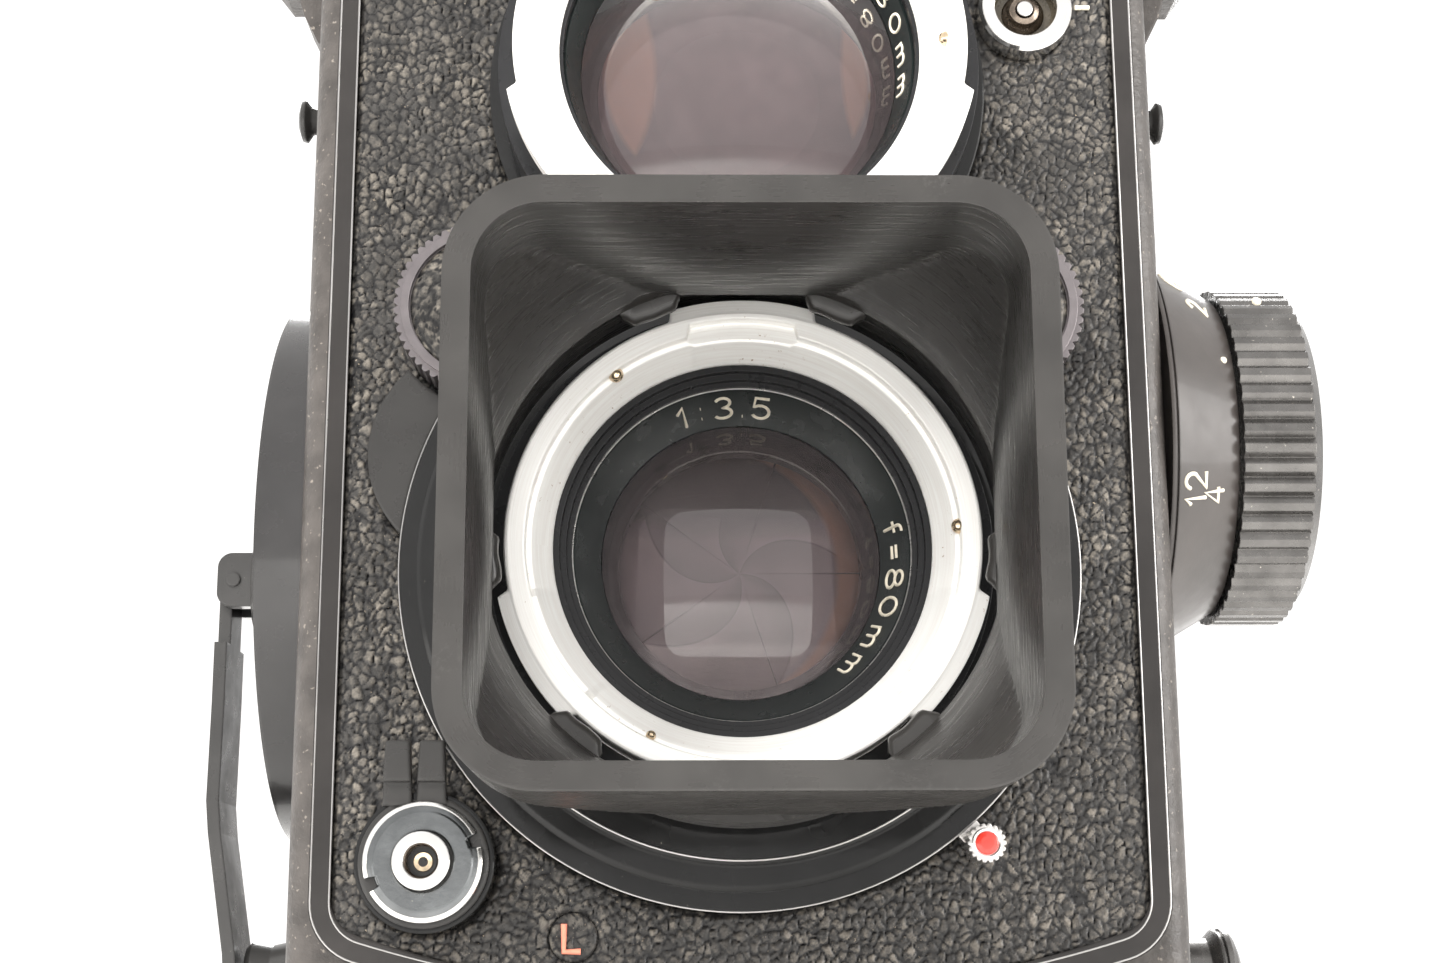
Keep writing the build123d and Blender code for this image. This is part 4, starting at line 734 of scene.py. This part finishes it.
def strokes(name, lines_mm, radius_mm, mat, body=STANDARD):
    """Round strokes along lines of points, as one mesh piece."""
    curve = bpy.data.curves.new(name + "_line", "CURVE")
    curve.dimensions = "3D"
    curve.bevel_depth = radius_mm * MM
    curve.bevel_resolution = 2
    curve.use_fill_caps = True
    for line in lines_mm:
        spline = curve.splines.new("POLY")
        spline.points.add(len(line) - 1)
        for point, place in zip(spline.points, line):
            point.co = (place[0] * MM, place[1] * MM, place[2] * MM, 1.0)
    maker = bpy.data.objects.new(name + "_maker", curve)
    show(maker)
    bpy.context.view_layer.update()
    mesh = bpy.data.meshes.new_from_object(maker.evaluated_get(bpy.context.evaluated_depsgraph_get()))
    bpy.data.objects.remove(maker)
    mesh.name = name
    mesh.materials.clear()
    mesh.shade_smooth()
    put(name, mesh, mat, body)


def funnel_place(z, r_in, r_out, y_in, y_out):
    """A point on a name ring: angle in degrees and share t of the way from the glass outwards."""
    def place(angle, t):
        a = radians(angle)
        r = r_in + (r_out - r_in) * t
        return spot(0.0, z, r, a, y_in + (y_out - y_in) * t)
    return place


def ring_words(words, place, radius, low, high, size):
    """Lines of lettering that reads clockwise, feet towards the glass. words is (centre angle, glyph)."""
    lines = []
    for centre, glyph in words:
        width, shapes = GLYPHS[glyph]
        for shape in shapes:
            line = []
            for gx, gy in shape:
                angle = centre - degrees((gx - width / 2) * size / radius)
                line.append(place(angle, low + (high - low) * gy))
            lines.append(line)
    return lines


def make_ring_lettering():
    taking = funnel_place(TAKING_Z, 11.4, 13.4, -50.66, -54.54)
    words = [(112.0, "1"), (105.2, ":"), (96.6, "3"), (89.3, "."), (82.3, "5"), (10.8, "f"), (1.8, "="),
             (-8.4, "8"), (-19.2, "0"), (-32.0, "m"), (-45.2, "m")]
    strokes("taking_lettering", ring_words(words, taking, 12.4, 0.26, 0.82, 2.15), 0.14, "ivory")
    viewing = funnel_place(VIEWING_Z, 13.45, 14.5, -51.87, -55.23)
    words = [(115.0, "1"), (108.5, ":"), (101.0, "2"), (94.5, "."), (88.5, "8"), (47.0, "f"), (38.0, "="),
             (27.8, "8"), (16.8, "0"), (5.3, "m"), (-6.3, "m")]
    strokes("viewing_lettering", ring_words(words, viewing, 14.0, 0.2, 0.75, 2.0), 0.13, "ivory")


def scale_radius(x):
    return 15.4 + (45.6 - x) * 3.8 / 6.3


SETTING_DOTS = ((44.6, scale_radius(44.6) - 0.1, 21.0, 0.36), (49.4, KNOB_R - 0.25, 54.0, 0.55))


def make_scale_numbers():
    """Distances on the focusing cone, feet in one row and metres in the other, and two setting dots."""
    feet = [("12", 70.7), ("6", 144.7), ("4", 222.0), ("3.5", 256.3)]
    metres = [("4", 68.0), ("2", 135.0), ("1.2", 225.9), ("1", 275.0)]
    zero = 91.5
    lines = []
    for row, x_foot, size in ((feet, 42.05, 2.1), (metres, 43.9, 1.9)):
        for text, angle in row:
            widths = [GLYPHS[g][0] * size + 0.5 for g in text]
            start = -sum(widths) / 2
            for glyph, width in zip(text, widths):
                for shape in GLYPHS[glyph][1]:
                    line = []
                    for gx, gy in shape:
                        x = x_foot - gy * size
                        r = scale_radius(x) - 0.03
                        a = radians(angle - zero) + (start + gx * size) / r
                        line.append((x, KNOB_Y - r * cos(a), KNOB_Z + r * sin(a)))
                    lines.append(line)
                start += width
    strokes("scale_numbers", lines, 0.2, "ivory", "focus_knob")
    dots = []
    for x, r, angle, size in SETTING_DOTS:
        a = radians(angle)
        dots.append(ball(x, KNOB_Y - r * cos(a), KNOB_Z + r * sin(a), size))
    build("setting_dots", merge(dots), "ivory", "focus_knob", sharp=80)


EDGE_Y = -46.42


def board_edge(half=34.85, top=119.3, bow=108.35, corner=5.0):
    """The lens board's outer edge from the top of one side round the bowed foot to the other."""
    turn_x = half - corner
    turn_z = BOW_Z - sqrt((bow - corner) ** 2 - turn_x ** 2)
    lean = atan2(turn_x, BOW_Z - turn_z)
    right = [(half, EDGE_Y, top - i * (top - turn_z) / 8) for i in range(8)]
    for i in range(11):
        a = i / 10 * (lean - pi / 2)
        right.append((turn_x + corner * cos(a), EDGE_Y, turn_z + corner * sin(a)))
    for i in range(1, 25):
        a = lean * (1 - i / 24)
        right.append((bow * sin(a), EDGE_Y, BOW_Z - bow * cos(a)))
    left = [(-x, y, z) for x, y, z in reversed(right[:-1])]
    return right + left


def circle(r, y):
    """Points of a circle round the taking lens."""
    return [spot(0.0, TAKING_Z, r, radians(a), y) for a in range(0, 361, 2)]


def lower_arc(r, y, top):
    """The part of such a circle that lies below a height, from one end to the other."""
    under = (p for p in circle(r, y) if p[2] < top)
    return sorted(under, key=lambda p: atan2(p[0], TAKING_Z - p[2]))


def make_printed_marks():
    """The letter on the cap, the dash by the flash socket, the silver lines on the bezel and the name ring,
    and steel strokes as painted highlights along the board's edges and the bezel's shoulder.
    """
    width, shapes = GLYPHS["L"]
    lines = [[(MARK_X - 0.75 + gx * 2.2, -46.16, MARK_Z - 1.1 + gy * 2.2) for gx, gy in s] for s in shapes]
    strokes("mark_letter", lines, 0.26, "coral")
    strokes("socket_dash", [[(30.1, -46.2, 100.85), (31.4, -46.2, 100.85)]], 0.22, "ivory")
    strokes("bezel_line", [lower_arc(24.15, -51.22, 66.5)], 0.11, "steel")
    # Painted highlight: a steel stroke along the housing's outer edge.
    strokes("bezel_shoulder_highlight", [lower_arc(28.1, -48.95, 68.0)], 0.1, "steel")
    # Painted highlight: two steel strokes along the edges of the board's rim.
    edges = [board_edge(), board_edge(33.3, 118.0, 106.8, 3.4)]
    strokes("board_edge_highlight", edges, 0.11, "steel")
    strokes("name_ring_edge", [circle(13.56, -54.5)], 0.06, "chrome_satin")


# ---- chrome bayonet rings
LUG_SPANS = ((-46.0, -13.0), (193.0, 225.0), (73.0, 107.0))


def window(angle, a0, a1, soft):
    """1 between two angles in degrees, easing to 0 over soft degrees outside."""
    mid, half = (a0 + a1) / 2, (a1 - a0) / 2
    far = abs((angle - mid + 180) % 360 - 180)
    return min(1.0, max(0.0, (half + soft - far) / soft))


def ring_profile(angle):
    """Section of the ring at one angle, as (radius, y), going round its outline."""
    lug = max(window(angle, a0, a1, 1.2) for a0, a1 in LUG_SPANS)
    notch = window(angle, 76.5, 103.5, 1.6)
    plain = max(window(angle, -44.0, -15.0, 2.5), window(angle, 195.0, 224.0, 2.5)) * (1 - notch)
    floor = -58.7 - 0.62 * plain
    outer = 18.7 + 0.9 * lug
    edge = 17.0 + 0.95 * notch
    return [(15.0, -53.9), (15.0, -56.75), (15.12, -56.95), (16.6 - 0.25 * notch, floor + 0.08),
            (16.75 - 0.25 * notch, floor), (edge - 0.12, floor), (edge - 0.04, floor - 0.06), (edge, -59.36),
            (edge + 0.12, RING_Y), (17.9 + 0.3 * notch, RING_Y), (18.42, RING_Y), (18.6, -59.43),
            (outer, -59.2), (outer + 0.0001, -58.4), (outer, -57.5), (outer - 0.05, -57.44), (18.7, -57.4),
            (18.7, -53.9)]


def make_ring(name, z, mat, node):
    build(name, turned(lambda angle: hold(ring_profile(angle), (0.07, 0.93)), 0.0, z, 720), mat, STANDARD,
          slot="satin_chrome", replaces=(node,), sharp=28)


def ball(cx, cy, cz, r, rings=10, count=16):
    points = []
    for i in range(rings + 1):
        polar = pi * i / rings
        for j in range(count):
            a = 2 * pi * j / count
            points.append((cx + r * sin(polar) * cos(a), cy - r * cos(polar),
                           cz + r * sin(polar) * sin(a)))
    return points, weave(rings + 1, count, False)


def make_detents():
    """The sprung balls in both rings."""
    parts = []
    for z, side in ((TAKING_Z, 4.3), (VIEWING_Z, 1.0)):
        for angle, r, size in ((126.6, 16.85, 0.62), (side, 16.95, 0.62), (244.5, 16.7, 0.4)):
            parts.append(ball(*spot(0.0, z, r, radians(angle), -58.85), size))
    build("detent_balls", merge(parts), "gold", STANDARD, slot="satin_chrome", sharp=80)


# ---- lenses
def dome(name, z, r, rim_y, bulge, back_y, hollow, mat, node):
    """A lens element with smooth faces: convex in front, hollow behind by the given depth."""
    steps = 28
    profile = []
    for i in range(steps + 1):
        t = i / steps
        profile.append((max(r * t, 0.001), rim_y - bulge * (1 - t * t)))
    profile.append((r, back_y))
    for i in range(steps, -1, -1):
        t = i / steps
        profile.append((max(r * 0.96 * t, 0.001), back_y - hollow * (1 - t * t)))
    build(name, lathe_shape(profile, 0.0, z, 144), mat, STANDARD, slot="coated_glass",
          replaces=(node,), sharp=40)


def make_optics():
    """Front glasses and the coloured walls seen through them."""
    dome("taking_front_glass", TAKING_Z, 11.35, -50.5, 2.0, -48.95, 0.3, "coated", "taking_glass")
    dome("viewing_front_glass", VIEWING_Z, 13.4, -51.7, 2.6, -50.2, 0.3, "coated_viewing", "viewing_glass")
    lathe("taking_inner_wall",
          [(11.2, -48.6), (11.3, -47.5), (12.0, -46.6), (12.3, -46.6), (12.3, -47.5), (11.5, -48.6)],
          0, TAKING_Z, "amber", STANDARD, slot="black_anodised")
    lathe("viewing_inner_stop",
          [(0.001, -47.6), (8.0, -47.8), (13.1, -49.9), (13.2, -49.7), (8.0, -47.4), (0.001, -47.2)],
          0, VIEWING_Z, "stop", STANDARD, slot="black_anodised")


# ---- printed hood
HOOD_FRONT, HOOD_NECK, HOOD_BACK = -83.1, -61.5, -55.0
# half side and corner of the square, radius of the cone in front and at the neck
HOOD_OUTSIDE, HOOD_INSIDE = (21.3, 7.0, 31.9, 22.0), (19.3, 5.0, 28.5, 20.2)
LAYER, RIDGE = 0.25, 0.035
CLAWS = (-5, 68.5, 111.5, 185, 230, 310)
COLLAR_R = 21.2


def square_radius(angle, half, corner):
    """Distance from the centre to a rounded square's edge."""
    c, s = abs(cos(angle)), abs(sin(angle))
    flat = half - corner
    if c > 1e-9 and half * s / c <= flat:
        return half / c
    if s > 1e-9 and half * c / s <= flat:
        return half / s
    reach = c * flat + s * flat
    return reach + sqrt(max(0.0, reach * reach - 2 * flat * flat + corner * corner))


def make_hood():
    """The printed hood: every layer is a small ridge, and its front shows the nozzle's lines."""
    count = 288
    turn = [2 * pi * (i + 0.5) / count for i in range(count)]
    length = HOOD_NECK - HOOD_FRONT
    layers = round(length / LAYER)

    def wall(half, corner, front, neck):
        square = [square_radius(a, half, corner) for a in turn]
        return lambda share, dent: [min(r, front + (neck - front) * share) - dent for r in square]

    outer, inner = wall(*HOOD_OUTSIDE), wall(*HOOD_INSIDE)
    loops = []
    lines = 5
    for k in range(lines * 2 + 1):
        t = k / (lines * 2)
        a, b = inner(0.0, 0.0), outer(0.0, 0.0)
        lift = 0.05 if k % 2 else 0.0
        loops.append(([p + (q - p) * t for p, q in zip(a, b)], HOOD_FRONT + 0.05 - lift))
    for i in range(layers):
        for part, dent in ((0.5, 0.0), (1.0, RIDGE)):
            share = (i + part) / layers
            loops.append((outer(share, dent), HOOD_FRONT + length * share))
    for radius, y in ((21.9, HOOD_NECK), (21.9, HOOD_BACK), (20.6, HOOD_BACK), (20.6, HOOD_NECK)):
        loops.append(([radius] * count, y))
    for i in range(layers, 0, -1):
        for part, dent in ((0.0, -RIDGE), (-0.5, 0.0)):
            share = (i + part) / layers
            loops.append((inner(share, dent), HOOD_FRONT + length * share))
    points = []
    for radii, y in loops:
        points += [spot(0.0, TAKING_Z, r, a, y) for r, a in zip(radii, turn)]
    parts = [(points, weave(len(loops), count, True))]
    build("printed_hood", merge(parts + [claw(centre) for centre in CLAWS]), "plastic", "lens_hood",
          slot="printed_plastic", replaces=("lens_hood",), sharp=50)


def claw(centre):
    """One retaining claw inside the collar, a rough rounded lump."""
    profile = [(COLLAR_R, -61.4), (19.6, -61.5), (19.05, -61.2), (18.9, -60.7), (19.05, -60.2),
               (19.5, -59.85), (COLLAR_R, -59.8)]
    steps = 16
    points = []
    for i in range(steps + 1):
        share = -1 + 2 * i / steps
        a = radians(centre + 7.0 * share)
        sink = 0.9 * max(0.0, abs(share) - 0.72) / 0.28
        wobble = 0.06 * sin(5 * share + centre)
        for r, y in profile:
            radius = min(COLLAR_R, r + (sink + wobble if r < COLLAR_R else 0.0))
            points.append(spot(0.0, TAKING_Z, radius, a, y))
    return capped(points, steps, len(profile))


# ---- release, socket, timer
def make_release():
    """The locking disc with its bright rim and two notches, the black forked lever under it, and the core."""
    def section(angle):
        cut = 0.75 * max(window(angle, 198, 208, 1.5), window(angle, 16, 26, 1.5))
        big, lip = 4.8 - cut, cut * 0.2
        return [(2.45, -49.75), (2.45, -50.42), (2.55, -50.5), (3.9 - lip, -50.5), (4.0 - lip, -50.42),
                (big - 0.35, -50.38), (big - 0.1, -50.28), (big, -50.1), (big, -49.75)]

    build("release_disc", turned(section, RELEASE_X, RELEASE_Z, 180), "dark_steel", "release_collar",
          slot="dark_steel", replaces=("release_collar",), sharp=30)
    plate = [(RELEASE_X + 5.25 * cos(radians(a)), RELEASE_Z + 5.25 * sin(radians(a)))
             for a in range(-250, 71, 8)]
    parts = [slab(plate, -49.74, -49.32)]
    for dx in (-2.2, 0.55):
        for low, high, wide, narrow, front in ((6.3, 9.6, 1.15, 1.0, -50.5), (4.4, 6.4, 1.2, 1.15, -49.9)):
            corners = ((-wide, low), (wide, low), (narrow, high), (-narrow, high))
            parts.append(slab([(RELEASE_X + dx + x, RELEASE_Z + z) for x, z in corners], front, -49.34))
    fork = build("release_fork", merge(parts), "lobe", "release_collar", slot="dark_steel", sharp=30)
    bevel(fork, 0.16, 50)
    core = [(0.001, -49.2), (0.3, -49.2), (0.38, -49.85), (0.75, -49.9), (0.85, -49.6), (0.9, -48.05),
            (1.38, -48.0), (1.38, -47.7), (0.001, -47.7)]
    lathe("release_core", core, RELEASE_X, RELEASE_Z, "gold", "release_button", count=48, slot="brass")
    liner = [(1.22, -51.1), (1.38, -51.3), (1.38, -48.1), (1.25, -48.1)]
    lathe("release_bore", liner, RELEASE_X, RELEASE_Z, "contact", "release_button", count=64, slot="brass")
    lip = [(4.4, -50.42), (4.6, -50.39), (4.74, -50.3), (4.82, -50.1), (4.7, -50.1), (4.55, -50.3),
           (4.4, -50.36)]
    build("release_rim", merge([sweep(lip, RELEASE_X, RELEASE_Z, *turn) for turn in ((28, 196), (210, 374))]),
          "chrome", "release_collar", slot="dark_steel", sharp=50)


def sweep(profile, x, z, first, last, steps=84):
    """A section of (radius, y) carried round part of a turn, closed at both ends."""
    points = []
    for i in range(steps + 1):
        a = radians(first + (last - first) * i / steps)
        points += [spot(x, z, r, a, y) for r, y in profile]
    return capped(points, steps, len(profile))


def slab(outline, y0, y1):
    """A flat plate from an outline in (x, z)."""
    n = len(outline)
    points = [(x, y0, z) for x, z in outline] + [(x, y1, z) for x, z in outline]
    faces = [tuple(range(n)), tuple(reversed(range(n, 2 * n)))]
    faces += [(i, i + n, (i + 1) % n + n, (i + 1) % n) for i in range(n)]
    return np.array(points), faces


def make_small_parts():
    """Contact and insulator of the flash socket, and the red dot of the timer with its collar."""
    lathe("socket_contact",
          [(0.72, -46.3), (0.72, -47.5), (0.85, -47.7), (1.3, -47.5), (1.45, -46.9), (1.9, -46.3)],
          PC_X, PC_Z, "contact", STANDARD, count=48, slot="brass")
    lathe("socket_insulator", [(1.8, -46.2), (1.9, -46.45), (2.5, -46.55), (2.74, -46.9), (2.74, -46.2)],
          PC_X, PC_Z, "insulator", STANDARD, count=64)
    lathe("timer_dot",
          [(0.001, -50.78), (0.55, -50.76), (0.85, -50.68), (0.98, -50.55), (0.98, -50.4), (0.001, -50.4)],
          TIMER_X, TIMER_Z, "red", "timer_lever", count=48)
    lathe("timer_collar", [(0.95, -50.62), (1.12, -50.66), (1.28, -50.58), (1.28, -50.3), (0.95, -50.3)],
          TIMER_X, TIMER_Z, "chrome", "timer_lever", count=48, slot="satin_chrome")


# ---- camera, light and floor
LENS_MM, SENSOR_MM = 55.213, 36.0
CAMERA_AT = (-4.57, -228.756, 16.688)
YAW, PITCH, ROLL = -0.995, 12.659, -0.252


def make_camera():
    data = bpy.data.cameras.new("photo_camera")
    data.lens = LENS_MM
    data.sensor_width = SENSOR_MM
    data.clip_start, data.clip_end = 0.01, 20.0
    obj = bpy.data.objects.new("photo_camera", data)
    turn = Matrix.Rotation(radians(YAW), 4, "Z") @ Matrix.Rotation(radians(90 + PITCH), 4, "X")
    turn = turn @ Matrix.Rotation(radians(ROLL), 4, "Z")
    obj.matrix_world = Matrix.Translation(Vector(CAMERA_AT) * MM) @ turn
    show(obj)
    bpy.context.scene.camera = obj


def area_light(name, at, aim, size, watts, colour, mirrored=True):
    data = bpy.data.lights.new(name, "AREA")
    data.shape = "RECTANGLE"
    data.size, data.size_y = size
    data.energy = watts
    data.color = colour
    obj = bpy.data.objects.new(name, data)
    obj.location = at
    obj.rotation_euler = (Vector(aim) - Vector(at)).to_track_quat("-Z", "Y").to_euler()
    obj.visible_glossy = mirrored
    obj.visible_transmission = False
    show(obj)


def make_studio():
    world = bpy.data.worlds.new("studio")
    world.use_nodes = True
    background = world.node_tree.nodes["Background"]
    socket_defaults(background, Color=(1.0, 0.985, 0.97, 1.0), Strength=1.25)
    bpy.context.scene.world = world
    centre = (0.0, -0.04, 0.07)
    area_light("key", (-0.45, -0.55, 0.62), centre, (0.35, 0.35), 13.0, (1.0, 0.99, 0.97), mirrored=False)
    area_light("front", (-0.1, -0.8, 0.42), centre, (0.22, 0.22), 5.5, (1.0, 0.985, 0.96), mirrored=False)
    area_light("fill", (0.65, -0.4, 0.1), centre, (0.5, 0.6), 7.0, (1.0, 0.98, 0.96))
    area_light("back", (0.1, 0.7, 0.55), centre, (0.6, 0.4), 10.0, (1.0, 1.0, 1.0))
    mesh = bpy.data.meshes.new("floor")
    half = 3.0
    mesh.from_pydata([(-half, -half, 0), (half, -half, 0), (half, half, 0), (-half, half, 0)], [],
                     [(0, 1, 2, 3)])
    shade = Shader("pale_floor")
    base = shade.mix(shade.span(shade.noise(180.0)), (0.8, 0.79, 0.775), (0.84, 0.83, 0.815))
    shade.feed("Base Color", base)
    socket_defaults(shade.bsdf, Roughness=0.6)
    mesh.materials.append(shade.mat)
    floor = bpy.data.objects.new("floor", mesh)
    show(floor)
    bpy.context.scene.view_settings.view_transform = "Standard"


dress_cad_nodes()
soften_cad_nodes()
make_leathers()
dial_insert("aperture_insert", -DIAL_X, "aperture_dial", 11.0)
dial_insert("speed_insert", DIAL_X, "speed_dial", 12.0)
make_mark()
make_ring_lettering()
make_scale_numbers()
make_printed_marks()
make_ring("taking_bayonet", TAKING_Z, "chrome_taking", "taking_ring")
make_ring("viewing_bayonet", VIEWING_Z, "chrome_viewing", "viewing_ring")
make_detents()
make_optics()
make_hood()
make_release()
make_small_parts()
make_camera()
make_studio()
